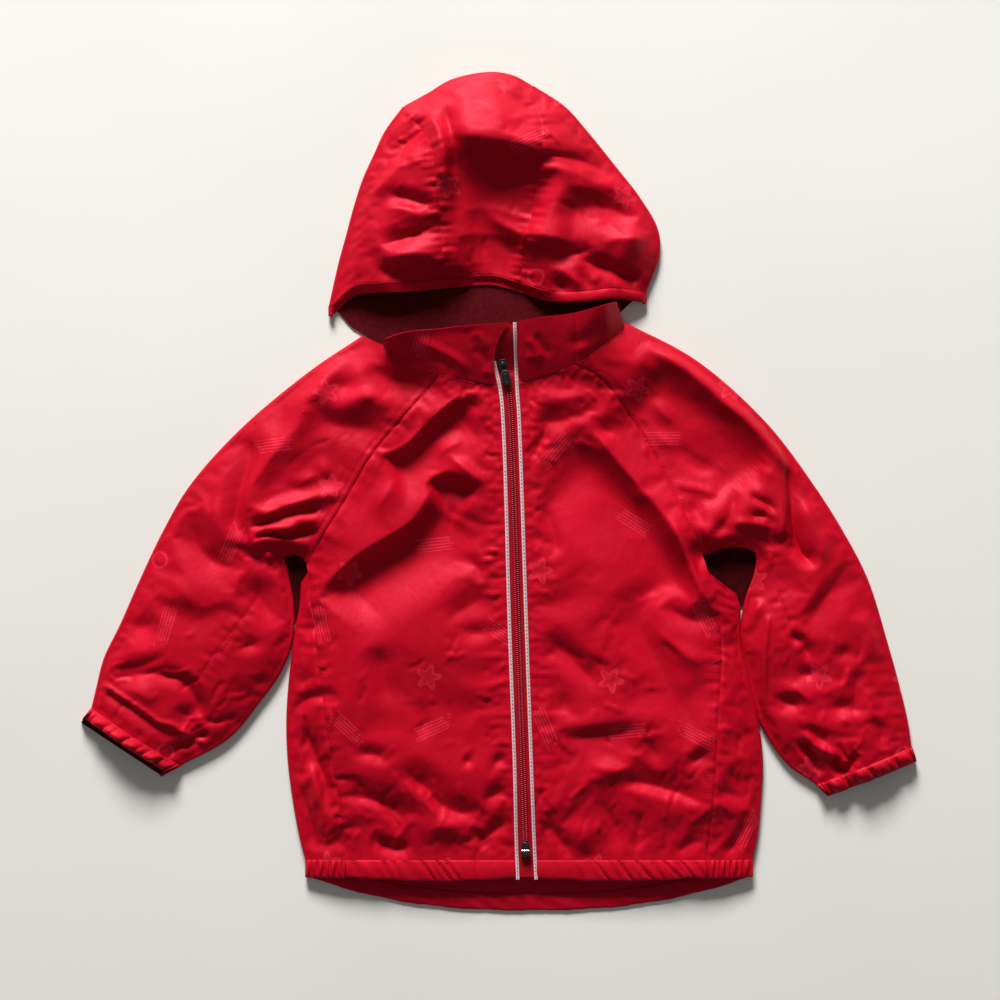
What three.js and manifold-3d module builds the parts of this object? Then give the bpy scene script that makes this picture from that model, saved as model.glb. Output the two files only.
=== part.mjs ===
// A child's hooded windbreaker, laid flat on its back with the zip up.
// Millimetres, +Z up, +Y towards the hood, +X towards the wearer's left side.
import * as THREE from 'three';
import { mergeVertices } from 'three/addons/utils/BufferGeometryUtils.js';
import Module from 'manifold-3d';

const wasm = await Module();
wasm.setup();

// Driving dimensions, in millimetres
const wall = 1.2; // every single layer of cloth
const casingWall = 2.2; // hem, cuff and brim casings, which are double
const seamHalf = 0.25; // each piece stops this far short of its seam
const ground = wall / 2; // middle of the layer that lies on the table
const roll = 2.6; // radius of the rolled folds at the silhouette
const pillow = { height: 8.5, reach: 44 }; // how far the front stands off the back
const hoodPillow = { height: 19, reach: 82 };
const hem = { y: -293.5, depth: 15.5, tail: 28, tailRound: 2.4, lowered: 0.45, fade: 62 };
const underarmY = -64; // the side folds of the body start here
const brimBand = 7.5;
const zip = { tape: 1.0, coil: 5.0, coilHeight: 1.9, piping: 2.2, pipingRise: 0.7, top: 134, topRight: 104 };
const gathers = { pitch: 5.2, height: 0.7 };
const neckPart = 0.2; // share of a sleeve's upper end that is sewn to the neck
const raglanSteps = 10;
const backRaglanSteps = 7;
const hoodSteps = 14;
const hoodSideSteps = 7;
const hoodCentreSteps = 7;
const brimWall = 1.6;
const zipBox = { top: -279, low: -290, width: 9, height: 3 };
const slider = { x: 3.4, y: 100, turn: 0.21, width: 8, length: 11.5, plate: 1.1, gap: 2.5 };
const crownArch = { y: 1.5, inside: 2.0, bar: 1.1, width: 2.6 };
const pull = { length: 17, head: 5.2, foot: 7.4, thick: 1.3, eye: 1.7 };

const colours = {
  cloth: new THREE.Color(0.56, 0.012, 0.035),
  casing: new THREE.Color(0.52, 0.011, 0.032),
  coil: new THREE.Color(0.5, 0.012, 0.03),
  piping: new THREE.Color(0.72, 0.6, 0.62),
  metal: new THREE.Color(0.06, 0.055, 0.055),
};

// Tables
// Each table is one list of named columns and one row for each section or fold.
const named = (columns, row) => Object.fromEntries(columns.map((name, i) => [name, row[i]]));
const table = (columns, rows) => rows.map((row) => named(columns, row));

// Centre lines of the two pipings beside the zip.
const zipRows = table(['y', 'right', 'left'], [
  [-309, 15.0, 29.6],
  [-278, 13.8, 28.0],
  [-214, 12.3, 25.6],
  [-102, 8.2, 21.6],
  [-6, 5.6, 18.4],
  [58, 3.2, 16.0],
  [82, 0.9, 14.4],
  [110, -5.2, 13.2],
  [134, -9.0, 12.4],
]);

// Front edges of the back panel, from the hem to the underarm, with the side folds beside them.
const sideRows = table(['y', 'foldRight', 'seamRight', 'seamLeft', 'foldLeft'], [
  [-294, -155, -122.8, 166, 203],
  [-274, -160, -123.6, 167.6, 207],
  [-246, -165, -126.8, 170, 209.6],
  [-214, -169, -132, 172, 211],
  [-182, -170, -137.2, 173.6, 207],
  [-150, -168, -141.6, 175.6, 200],
  [-126, -163, -144.4, 177.2, 194.4],
  [-102, -159.5, -147.2, 176, 191],
  [-82, -158.4, -150, 172.8, 187],
  [underarmY, -158, -152.6, 166.6, 174],
]);

// Raglan seams, from the underarm to the neck.
const raglanRight = table(['x', 'y'], [
  [-154, -58], [-128, -16], [-101, 29], [-81, 54], [-60, 78], [-46, 96],
]);
const raglanLeft = table(['x', 'y'], [
  [163, -51], [145, -11], [122, 33], [95, 74], [79, 92], [58, 103],
]);

// Sections of each sleeve from the raglan seam to the cuff: its shoulder fold and underarm fold.
const sleeveColumns = ['outerX', 'outerY', 'innerX', 'innerY'];
const sleeveRight = table(sleeveColumns, [
  [-109, 125, -155, -57],
  [-152, 96, -163, -57.5],
  [-208, 49, -169.5, -61],
  [-248, 4, -170, -79],
  [-269, -32, -167.5, -98],
  [-288, -72, -168.5, -120],
  [-303, -106, -176, -145],
  [-316, -133, -192, -169],
  [-321.5, -154, -216, -197],
  [-326, -173, -255, -219],
]);
const sleeveLeft = table(sleeveColumns, [
  [98, 137, 164, -49],
  [158, 105, 187, -43],
  [214, 55, 205, -49],
  [252, 5, 204.5, -64],
  [276, -33, 197.5, -90],
  [295, -70, 196.5, -118],
  [310, -118, 204.5, -150],
  [321, -158, 213, -182],
  [327, -184, 230, -217],
  [330, -204, 254, -234],
]);
const cuffRight = { outer: [-333, -184], inner: [-271, -227] };
const cuffLeft = { outer: [333, -216], inner: [264, -243] };

// Hood side panels, from the crown to the brim: the fold at the silhouette, the seam of the centre
// panel on the upper layer and its seam on the layer underneath.
const hoodColumns = ['foldX', 'foldY', 'topX', 'topY', 'underX', 'underY'];
const hoodRight = table(hoodColumns, [
  [-79, 309, -74, 307, -74, 307],
  [-91, 289, -64, 293, -66, 288],
  [-100, 270, -53, 274, -58, 262],
  [-109, 250, -49, 249, -50, 230],
  [-116, 228, -47, 225, -42, 196],
  [-122, 203, -46, 202, -37, 162],
  [-128, 178, -44, 180, -33, 130],
  [-136, 141, -43, 163, -30, 98.3],
]);
const hoodLeft = table(hoodColumns, [
  [30, 325, 25, 323, 25, 323],
  [53, 308, 31, 300, 33, 298],
  [71, 288, 34, 279, 37, 270],
  [92, 262, 32, 256, 37, 236],
  [112, 236, 28, 230, 36, 200],
  [127, 207, 23, 203, 35, 166],
  [128, 182, 19, 180, 34, 134],
  [117.5, 151.5, 17, 160, 33, 102.5],
]);
const crown = table(['x', 'y'], [[-74, 309.6], [-57, 319], [-38, 330], [-7, 336], [12, 333], [25, 325.6]]);
const brim = table(['x', 'y'], [
  [-136, 141], [-118, 156], [-99, 158.5], [-68, 160], [-33, 164], [-7, 166], [17, 160],
  [42, 152], [68, 151.5], [94, 154], [117.5, 151.5],
]);
// Free edge of the hood and seam of the neck on the layer underneath, wearer's right to left.
const napeRight = table(['x', 'y'], [[-136, 141], [-110, 127], [-88, 119.5], [-60, 104.8], [-30, 98.3]]);
const napeLeft = table(['x', 'y'], [[117.5, 151.5], [95, 148], [86, 129.5], [61, 108], [33, 102.5]]);

// Chin parts: lower edge on the neck seam, upper edge free.
const chinColumns = ['lowX', 'lowY', 'highX', 'highY', 'bend'];
const chinRight = table(chinColumns, [
  [-92, 118, -90, 121.5, 0],
  [-70, 108, -70, 127, 0],
  [-46.5, 98, -48, 129, 0],
  [-26, 92.8, -26, 131.5, -2],
  [-1.8, 87.4, 7.5, 134, -9],
]);
const chinLeft = table(chinColumns, [
  [15.7, 90, 13.9, 134.5, 0],
  [33, 95.8, 33, 138, 0],
  [57.5, 105, 58, 141, 0],
  [77, 120.5, 79, 146, 0],
  [94, 135.2, 91, 149, 0],
]);

// Largest folds. Each runs from start to end with its middle bowed sideways; height is signed.
const foldColumns = ['name', 'x0', 'y0', 'x1', 'y1', 'bow', 'width', 'height'];
const bodyFolds = table(foldColumns, [
  ['armpit ridge, right', -206, -35, -119, -2, 7, 12, 5],
  ['armpit groove, right', -202, -45, -156, -31, 4, 8, -4],
  ['armpit curl, right', -204, -54, -156, -46, 8, 9, 5],
  ['upper sleeve swell, right', -123, 112, -199, -14, -4, 26, 4],
  ['lower sleeve groove, right', -262, -60, -205, -150, 6, 16, -3],
  ['yoke groove, right', -24, 78, -95, 22, 3, 13, -5],
  ['yoke ridge, right', -40, 88, -92, 44, 3, 12, 3.5],
  ['chest groove, right', -52, 18, -149, -104, 24, 12, -5],
  ['chest swell, right', -20, 10, -120, -120, 10, 34, 3],
  ['shoulder swell, left', 113, 114, 225, 38, 5, 20, 4],
  ['shoulder groove, left', 122, 92, 226, 18, -6, 16, -5.5],
  ['sleeve pleat, left', 224, 44, 230, -60, -4, 9, 4.5],
  ['sleeve groove, left', 208, 30, 212, -40, -4, 12, -4],
  ['elbow groove, left', 292, -46, 234, -120, -5, 12, -4],
  ['armpit ridge, left', 134, -10, 172, -100, 4, 10, 4],
  ['chest groove, left', 50, 10, 126, -62, 6, 24, -5],
  ['waist groove, left', 76, -96, 172, -200, 8, 22, -4.5],
  ['waist swell, left', 60, -50, 150, -150, 10, 26, 2.5],
  ['hem groove, outer right', -132, -230, -66, -248, 3, 14, -3],
  ['hem groove, inner right', -50, -240, 4, -260, 2, 14, -3],
  ['hem groove, inner left', 46, -192, 116, -208, -3, 16, -3],
  ['hem groove, outer left', 90, -228, 164, -244, -4, 14, -3],
]);
const hoodFolds = table(foldColumns, [
  ['crown ridge', -50, 286, 124, 226, 14, 22, 6],
  ['crown dip', -4, 268, 6, 170, 0, 46, -10],
  ['side groove, right', -98, 246, -52, 192, 4, 14, -3.5],
  ['side swell, right', -104, 200, -60, 250, 6, 22, 3],
  ['cheek groove, left', 56, 232, 104, 176, 6, 18, -3.5],
  ['cheek swell, left', 96, 236, 112, 176, 4, 20, 3],
]);

// Curves and heights
const clamp = THREE.MathUtils.clamp;
const lerp = THREE.MathUtils.lerp;
const smooth = (t) => THREE.MathUtils.smoothstep(t, 0, 1);

function curveOf(rows, x = 'x', y = 'y') {
  const points = rows.map((row) => new THREE.Vector3(row[x], row[y], 0));
  const curve = new THREE.CatmullRomCurve3(points, false, 'centripetal');
  return (t) => curve.getPoint(clamp(t, 0, 1));
}

// Reads one column of a table as a smooth function of its y column.
function columnAt(rows, name) {
  return (y) => {
    const next = rows.findIndex((row) => row.y > y);
    const i = next < 0 ? rows.length - 2 : Math.max(next - 1, 0);
    const t = (y - rows[i].y) / (rows[i + 1].y - rows[i].y);
    const slope = (k) => {
      const a = rows[Math.max(k - 1, 0)];
      const b = rows[Math.min(k + 1, rows.length - 1)];
      return (b[name] - a[name]) / (b.y - a.y) * (rows[i + 1].y - rows[i].y);
    };
    const [p, q] = [rows[i][name], rows[i + 1][name]];
    if (t < 0 || t > 1) return lerp(p, q, t);
    const [m, n] = [slope(i), slope(i + 1)];
    return p + t * (m + t * (3 * (q - p) - 2 * m - n + t * (m + n - 2 * (q - p))));
  };
}

function sampled(curve, count = 40) {
  return Array.from({ length: count + 1 }, (_, i) => curve(i / count));
}

function distanceTo(lines, x, y) {
  let best = Infinity;
  for (const line of lines) {
    for (let i = 1; i < line.length; i++) {
      const [a, b] = [line[i - 1], line[i]];
      const [dx, dy] = [b.x - a.x, b.y - a.y];
      const t = clamp(((x - a.x) * dx + (y - a.y) * dy) / (dx * dx + dy * dy || 1), 0, 1);
      best = Math.min(best, Math.hypot(x - a.x - t * dx, y - a.y - t * dy));
    }
  }
  return best;
}

function foldHeight(folds, x, y) {
  let height = 0;
  for (const fold of folds) {
    const [dx, dy] = [fold.x1 - fold.x0, fold.y1 - fold.y0];
    const length = Math.hypot(dx, dy);
    const along = ((x - fold.x0) * dx + (y - fold.y0) * dy) / (length * length);
    if (along <= 0 || along >= 1) continue;
    const bowed = fold.bow * 4 * along * (1 - along);
    const across = ((y - fold.y0) * dx - (x - fold.x0) * dy) / length - bowed;
    if (Math.abs(across) >= fold.width) continue;
    const profile = (1 + Math.cos(Math.PI * across / fold.width)) / 2;
    height += fold.height * profile * Math.sin(Math.PI * along) ** 0.8;
  }
  return height;
}

const puff = (distance, { height, reach }) => {
  const t = clamp((distance - roll) / reach, 0, 1);
  return height * t * (2 - t);
};

const bodyEdges = [
  sampled(curveOf(sleeveRight, 'outerX', 'outerY')),
  sampled(curveOf(sleeveRight, 'innerX', 'innerY')),
  sampled(curveOf(sleeveLeft, 'outerX', 'outerY')),
  sampled(curveOf(sleeveLeft, 'innerX', 'innerY')),
  sampled(curveOf(sideRows, 'foldRight')),
  sampled(curveOf(sideRows, 'foldLeft')),
];
const hoodEdges = [
  sampled(curveOf(hoodRight, 'foldX', 'foldY')),
  sampled(curveOf(crown)),
  sampled(curveOf(hoodLeft, 'foldX', 'foldY')),
];

// Height of the upper layer of the body and sleeves, and of the hood.
function bodyTop(x, y) {
  const distance = distanceTo(bodyEdges, x, y);
  const lowered = lerp(hem.lowered, 1, smooth((y - hem.y) / hem.fade));
  const atTorso = smooth((x + 175) / 20) * smooth((216 - x) / 20);
  const share = lerp(1, lowered, y < -60 ? atTorso : 1);
  const folds = foldHeight(bodyFolds, x, y) * smooth((distance - roll) / 14);
  return ground + 2 * roll + puff(distance, pillow) * share + folds;
}

function hoodTop(x, y) {
  const distance = distanceTo(hoodEdges, x, y);
  const folds = foldHeight(hoodFolds, x, y) * smooth((distance - roll) / 24);
  return ground + 2 * roll + puff(distance, hoodPillow) + folds;
}

// Walls of cloth
const steps = (count, from = 0, to = 1) =>
  Array.from({ length: count + 1 }, (_, i) => lerp(from, to, i / count));

// Closed wall on a middle surface at(u, v), sampled at us and vs. A ring joins its last column to
// its first. The outer face is the side that the normal du x dv points to.
function clothWall(at, us, vs, { ring = false, thickness = wall } = {}) {
  const step = 1e-4;
  const [vLow, vHigh] = [vs[0], vs.at(-1)];
  const [uLow, uHigh] = [us[0], us.at(-1)];
  const positions = [];
  for (const side of [1, -1]) {
    for (const v of vs) {
      for (const u of us) {
        const before = at(ring ? u - step : Math.max(u - step, uLow), v);
        const after = at(ring ? u + step : Math.min(u + step, uHigh), v);
        const below = at(u, Math.max(v - step, vLow));
        const above = at(u, Math.min(v + step, vHigh));
        const normal = after.sub(before).cross(above.sub(below)).normalize();
        const point = at(u, v).addScaledVector(normal, side * thickness / 2);
        positions.push(point.x, point.y, point.z);
      }
    }
  }
  const [columns, rows] = [us.length, vs.length];
  const id = (side, i, j) => side * columns * rows + j * columns + (i % columns);
  const faces = [];
  const quad = (a, b, c, d) => faces.push(a, b, c, a, c, d);
  const spans = ring ? columns : columns - 1;
  for (let j = 0; j < rows - 1; j++) {
    for (let i = 0; i < spans; i++) {
      quad(id(0, i, j), id(0, i + 1, j), id(0, i + 1, j + 1), id(0, i, j + 1));
      quad(id(1, i, j), id(1, i, j + 1), id(1, i + 1, j + 1), id(1, i + 1, j));
    }
  }
  for (let i = 0; i < spans; i++) {
    quad(id(0, i, 0), id(1, i, 0), id(1, i + 1, 0), id(0, i + 1, 0));
    quad(id(0, i + 1, rows - 1), id(1, i + 1, rows - 1), id(1, i, rows - 1), id(0, i, rows - 1));
  }
  if (!ring) {
    for (let j = 0; j < rows - 1; j++) {
      quad(id(0, 0, j + 1), id(1, 0, j + 1), id(1, 0, j), id(0, 0, j));
      const last = columns - 1;
      quad(id(0, last, j), id(1, last, j), id(1, last, j + 1), id(0, last, j + 1));
    }
  }
  const geometry = new THREE.BufferGeometry();
  geometry.setAttribute('position', new THREE.Float32BufferAttribute(positions, 3));
  geometry.setIndex(faces);
  return geometry;
}

// One row of cloth that comes from the upper layer, rolls round a silhouette fold and goes back
// on the table. s runs 0 to 1 on top, 1 to 2 round the fold and 2 to 3 underneath.
function foldedRow(s, top, fold, under, topHeight) {
  const inward = top.clone().sub(fold);
  const underward = under.clone().sub(fold);
  const rollTop = fold.clone().addScaledVector(inward.normalize(), roll);
  const rollUnder = fold.clone().addScaledVector(underward.normalize(), roll);
  if (s <= 1) {
    const point = top.clone().lerp(rollTop, s);
    return point.setZ(topHeight(point.x, point.y));
  }
  if (s >= 2) return rollUnder.lerp(under, s - 2).setZ(ground);
  const angle = (s - 1) * Math.PI;
  const depth = 1 - Math.sin(angle);
  const point = fold.clone().lerp(s < 1.5 ? rollTop : rollUnder, depth);
  const lift = topHeight(rollTop.x, rollTop.y) - ground;
  return point.setZ(ground + lift * (1 + Math.cos(angle)) / 2);
}
const foldSteps = (topCount, underCount) =>
  [...steps(topCount, 0, 1), 1.25, 1.5, 1.75, ...steps(underCount, 2, 3)];

const raglanCurves = { right: curveOf(raglanRight), left: curveOf(raglanLeft) };
const zipX = { right: columnAt(zipRows, 'right'), left: columnAt(zipRows, 'left') };
const side = Object.fromEntries(['foldRight', 'seamRight', 'seamLeft', 'foldLeft']
  .map((name) => [name, columnAt(sideRows, name)]));

// Body
// v runs 0 to 1 from the hem to the underarm and 1 to 2 along the raglan seam to the neck.
function frontPanel(hand) {
  const sign = hand === 'left' ? 1 : -1;
  const seam = side[hand === 'left' ? 'seamLeft' : 'seamRight'];
  const raglan = raglanCurves[hand];
  const lowTop = raglan(0).y;
  const neckY = hand === 'left' ? 88.5 : 85.5;
  const zipEdge = (y) => zipX[hand](y) + sign * (zip.piping / 2 + seamHalf);
  const at = (u, v) => {
    const below = Math.min(v, 1);
    const seamY = lerp(hem.y, lowTop, below);
    const outer = v <= 1
      ? new THREE.Vector3(v < 1 ? seam(seamY) : raglan(0).x, seamY, 0)
      : raglan(v - 1);
    if (v < 1 && seamY > underarmY) {
      outer.x = lerp(seam(underarmY), raglan(0).x, (seamY - underarmY) / (lowTop - underarmY));
    }
    const zipY = v <= 1 ? seamY : lerp(lowTop, neckY, v - 1);
    const inner = new THREE.Vector3(zipEdge(zipY), zipY, 0);
    outer.x -= sign * seamHalf;
    const point = inner.lerp(outer, u);
    return point.setZ(bodyTop(point.x, point.y));
  };
  const vs = [...steps(18, 0, 1), ...steps(raglanSteps, 1, 2).slice(1)];
  const us = steps(12);
  return clothWall(hand === 'left' ? at : (u, v) => at(1 - u, v), us, vs);
}

const tailDrop = (x) => {
  const centre = (side.foldRight(hem.y) + side.foldLeft(hem.y)) / 2;
  const half = (side.foldLeft(hem.y) - side.foldRight(hem.y)) / 2;
  return hem.tail * (1 - Math.min(Math.abs((x - centre) / half), 1) ** hem.tailRound);
};

// Row of the back panel at height y. s runs 0 to 3 from the right front seam to the middle of the
// back and 3 to 6 on to the left front seam.
function backRow(s, y, drop) {
  const [hand, local] = s <= 3 ? ['Right', s] : ['Left', 6 - s];
  const sign = hand === 'Left' ? 1 : -1;
  const middle = new THREE.Vector3(24, y, 0);
  const fold = new THREE.Vector3(side[`fold${hand}`](y), y, 0);
  const seam = new THREE.Vector3(side[`seam${hand}`](y) + sign * seamHalf, y, 0);
  const point = foldedRow(local, seam, fold, middle, bodyTop);
  if (local > 2) point.y -= drop * tailDrop(point.x);
  return point;
}
const backSteps = [...foldSteps(2, 4), ...foldSteps(2, 4).reverse().slice(1).map((s) => 6 - s)];

function backPanel() {
  const at = (u, v) => {
    const y = lerp(hem.y, underarmY, v);
    return backRow(u, y, (1 - smooth(v / 0.5)));
  };
  const lower = clothWall(at, backSteps, steps(15));
  const upperAt = (u, v) => {
    const right = raglanCurves.right(Math.max(v, 0));
    const left = raglanCurves.left(Math.max(v, 0));
    right.x += seamHalf * 1.4;
    left.x -= seamHalf * 1.4;
    const point = right.lerp(left, 1 - u).setZ(ground);
    if (v < 0) point.y = Math.min(point.y, underarmY) + v * 2;
    return point;
  };
  const upper = clothWall(upperAt, steps(6), [-1, ...steps(backRaglanSteps)]);
  return joined([lower, upper]);
}

// Sleeves and cuffs
// v runs 0 to 1 from the raglan seam to the cuff seam; u goes once round, 0 to 3 over the top from
// the shoulder fold to the underarm fold and 3 to 6 back underneath. The layer that lies on the
// table is a solid of its own, so that the sleeve stays hollow for collision.
function sleeve(hand) {
  const rows = hand === 'left' ? sleeveLeft : sleeveRight;
  const outer = curveOf(rows, 'outerX', 'outerY');
  const inner = curveOf(rows, 'innerX', 'innerY');
  const raglan = raglanCurves[hand];
  const seamEdge = roll / outer(0).distanceTo(inner(0));
  const neckShare = lerp(seamEdge, 1 - seamEdge, neckPart);
  const neckEnd = raglan(1);
  const along = (share) => {
    const start = outer(0);
    if (share < neckShare) return start.lerp(neckEnd, share / neckShare);
    return raglan(1 - (share - neckShare) / (1 - neckShare));
  };
  const plan = (share, v) => {
    const straight = outer(v).lerp(inner(v), share);
    const chord = outer(0).lerp(inner(0), share);
    const bow = along(share).sub(chord);
    const fade = (1 - clamp(v / 0.42, 0, 1)) ** 1.6;
    return straight.addScaledVector(bow, fade);
  };
  const at = (u, v) => {
    const turn = ((u % 6) + 6) % 6;
    const over = turn <= 3;
    const local = over ? turn : 6 - turn;
    const width = outer(v).distanceTo(inner(v));
    const edge = roll / width;
    const angle = local < 1 ? local * Math.PI / 2 : local > 2 ? (3 - local) * Math.PI / 2 : Math.PI / 2;
    const inset = edge * (1 - Math.cos(angle));
    let share = lerp(edge, 1 - edge, clamp(local - 1, 0, 1));
    if (local < 1) share = inset;
    if (local > 2) share = 1 - inset;
    const point = plan(share, v);
    if (local >= 1 && local <= 2) return point.setZ(over ? bodyTop(point.x, point.y) : ground);
    const rim = plan(local < 1 ? edge : 1 - edge, v);
    const lift = (bodyTop(rim.x, rim.y) - ground) / 2;
    return point.setZ(ground + lift * (1 + (over ? 1 : -1) * Math.sin(angle)));
  };
  const corner = 1 + neckPart;
  const overSteps = [...steps(2, 1, corner), ...steps(raglanSteps, corner, 2).slice(1)];
  const over = [-1, -0.5, 0, 0.5, ...overSteps, 2.5, 3, 3.5, 4];
  const lips = 2 * seamHalf / outer(0).distanceTo(inner(0)) + 0.004;
  const underSteps = steps(backRaglanSteps, 4, 6 - corner).slice(1);
  const under = [4 + lips, ...underSteps, 6 - (1 + corner) / 2, 5 - lips];
  const vs = [0.0018, ...steps(18).slice(1)];
  const facing = hand === 'left' ? at : (u, v) => at(-u, v);
  const turned = (us) => (hand === 'left' ? us : us.map((u) => -u).reverse());
  return { upper: clothWall(facing, turned(over), vs), under: clothWall(facing, turned(under), vs), at };
}

// Casing at a sleeve's end, from its seam to its mouth, with gathers all round.
function cuff(hand, sleeveAt, mouth) {
  const seamPoint = (u) => sleeveAt(u, 0.9992);
  const outer = new THREE.Vector3(...mouth.outer, 0);
  const inner = new THREE.Vector3(...mouth.inner, 0);
  const seamOuter = seamPoint(0).setZ(0);
  const seamInner = seamPoint(3).setZ(0);
  const shift = (share) => outer.clone().sub(seamOuter).lerp(inner.clone().sub(seamInner), share);
  const at = (u, v) => {
    const turn = ((u % 6) + 6) % 6;
    const share = (turn <= 3 ? turn : 6 - turn) / 3;
    const point = seamPoint(u).addScaledVector(shift(share), lerp(0.06, 1, v));
    const over = smooth((point.z - ground) / 4);
    const wave = Math.sin(2 * Math.PI * turn * 2.5);
    point.z = casingWall / 2 + (point.z - ground) * lerp(1, 0.8, v);
    point.z += over * gathers.height * wave * Math.sin(Math.PI * clamp(v * 0.8 + 0.1, 0, 1));
    return point;
  };
  const fine = steps(60, 0, 6).slice(0, -1);
  const facing = hand === 'left' ? at : (u, v) => at(-u, v);
  return clothWall(facing, fine, [0, 0.5, 1], { ring: true, thickness: casingWall });
}

// Hem
function hemFront(hand) {
  const sign = hand === 'left' ? 1 : -1;
  const seam = side[hand === 'left' ? 'seamLeft' : 'seamRight'](hem.y) - sign * 2 * seamHalf;
  const at = (u, v) => {
    const y = hem.y - 2 * seamHalf - v * (hem.depth - 0.5);
    const edge = zipX[hand](y) + sign * (zip.piping / 2 + seamHalf);
    const x = lerp(edge, seam, u);
    const sag = 1.6 * Math.sin(Math.PI * clamp(u * 1.1, 0, 1)) * v;
    return new THREE.Vector3(x, y - sag, bodyTop(x, hem.y) + 0.35 * Math.sin(Math.PI * v));
  };
  const facing = hand === 'left' ? (u, v) => at(u, 1 - v) : (u, v) => at(1 - u, 1 - v);
  return clothWall(facing, steps(14), [0, 0.5, 1], { thickness: casingWall });
}

function hemBack() {
  const at = (u, v) => {
    const local = u <= 3 ? u : 6 - u;
    const point = backRow(u, hem.y, 1);
    point.y += -2 * seamHalf - (1 - v) * (hem.depth - 2);
    if (local > 2) point.z += (casingWall - wall) / 2;
    const wave = Math.sin(2 * Math.PI * point.x / gathers.pitch);
    if (local < 1) point.z += gathers.height * wave * Math.sin(Math.PI * v);
    if (local >= 1 && local <= 2) point.z += (casingWall - wall) / 2 * (local - 1);
    return point;
  };
  const half = [...steps(22, 0, 1), 1.25, 1.5, 1.75, ...steps(12, 2, 3)];
  const us = [...half, ...half.slice(0, -1).reverse().map((s) => 6 - s)];
  return clothWall(at, us, [0, 0.5, 1], { thickness: casingWall });
}

// Hood
const brimY = columnAt(table(['y', 'edge'], brim.map((row) => [row.x, row.y])), 'edge');

// The brim casing narrows to nothing underneath, past each corner.
const bandShare = (u) => 1 - smooth((u - 2) / 0.25);

// u runs 0 to 3 from the centre seam on top, round the side fold, to the centre seam underneath;
// v runs 0 to 1 from the crown to the brim.
function hoodSideAt(hand, inset) {
  const rows = hand === 'left' ? hoodLeft : hoodRight;
  const sign = hand === 'left' ? 1 : -1;
  const fold = curveOf(rows, 'foldX', 'foldY');
  const top = curveOf(rows, 'topX', 'topY');
  const under = curveOf(rows, 'underX', 'underY');
  const nape = curveOf(hand === 'left' ? napeLeft : napeRight);
  const chordTop = (s) => top(1).lerp(fold(1), s);
  const chordUnder = (s) => fold(1).lerp(under(1), s);
  return (u, v) => {
    const seamTop = top(v);
    const seamUnder = under(v);
    seamTop.x += sign * seamHalf;
    seamUnder.x += sign * seamHalf;
    const point = foldedRow(u, seamTop, fold(v), seamUnder, () => ground + 2 * roll);
    const fade = smooth((v - 0.55) / 0.45);
    if (u < 1) {
      const chord = chordTop(u);
      point.y += (brimY(chord.x) - chord.y) * fade;
    } else if (u > 2) {
      point.add(nape(u - 2).sub(chordUnder(u - 2)).multiplyScalar(fade));
      point.z = ground;
    }
    point.y += inset * smooth((v - 0.5) / 0.5) * bandShare(u);
    if (u < 1) point.z = hoodTop(point.x, point.y);
    return point;
  };
}

function hoodSide(hand) {
  const at = hoodSideAt(hand, brimBand + 2 * seamHalf);
  const us = foldSteps(hoodSideSteps, 4);
  const facing = hand === 'left' ? at : (u, v) => at(3 - u, v);
  const ordered = hand === 'left' ? us : us.map((u) => 3 - u).reverse();
  return clothWall((u, v) => facing(u, 1 - v), ordered, steps(hoodSteps));
}

// v runs 0 to 1 from the brim to the crown on top, 1 to 2 over the crown, 2 to 3 down to the nape.
function hoodCentreAt(inset) {
  const curves = {
    right: { top: curveOf(hoodRight, 'topX', 'topY'), under: curveOf(hoodRight, 'underX', 'underY') },
    left: { top: curveOf(hoodLeft, 'topX', 'topY'), under: curveOf(hoodLeft, 'underX', 'underY') },
  };
  const crownCurve = curveOf(crown);
  return (u, v) => {
    const ridge = crownCurve(u);
    const share = (curve, t) => curves.right[curve](t).lerp(curves.left[curve](t), u);
    const layer = (curve, t) => {
      const point = share(curve, t);
      const offset = ridge.clone().sub(share(curve, 0));
      offset.y -= roll;
      return point.addScaledVector(offset, (1 - t) ** 1.5);
    };
    const shrink = seamHalf * (1 - 2 * u);
    if (v <= 1) {
      const point = layer('top', 1 - v);
      const fade = smooth((0.45 - v) / 0.45);
      const chord = share('top', 1);
      point.y += (brimY(chord.x) - chord.y) * fade + inset * smooth((0.5 - v) / 0.5);
      point.x += shrink;
      return point.setZ(hoodTop(point.x, point.y));
    }
    if (v >= 2) {
      const point = layer('under', v - 2);
      point.x += shrink;
      return point.setZ(ground);
    }
    const angle = (v - 1) * Math.PI;
    const rim = layer('top', 0);
    const point = rim.clone();
    point.x += shrink;
    point.y += roll * Math.sin(angle);
    const lift = hoodTop(rim.x, rim.y) - ground;
    return point.setZ(ground + lift * (1 + Math.cos(angle)) / 2);
  };
}

function hoodCentre() {
  const at = hoodCentreAt(brimBand + 2 * seamHalf);
  const vs = [...steps(hoodSteps, 0, 1), 1.25, 1.5, 1.75, ...steps(hoodSteps, 2, 3)];
  return clothWall(at, steps(hoodCentreSteps), vs);
}

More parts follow.
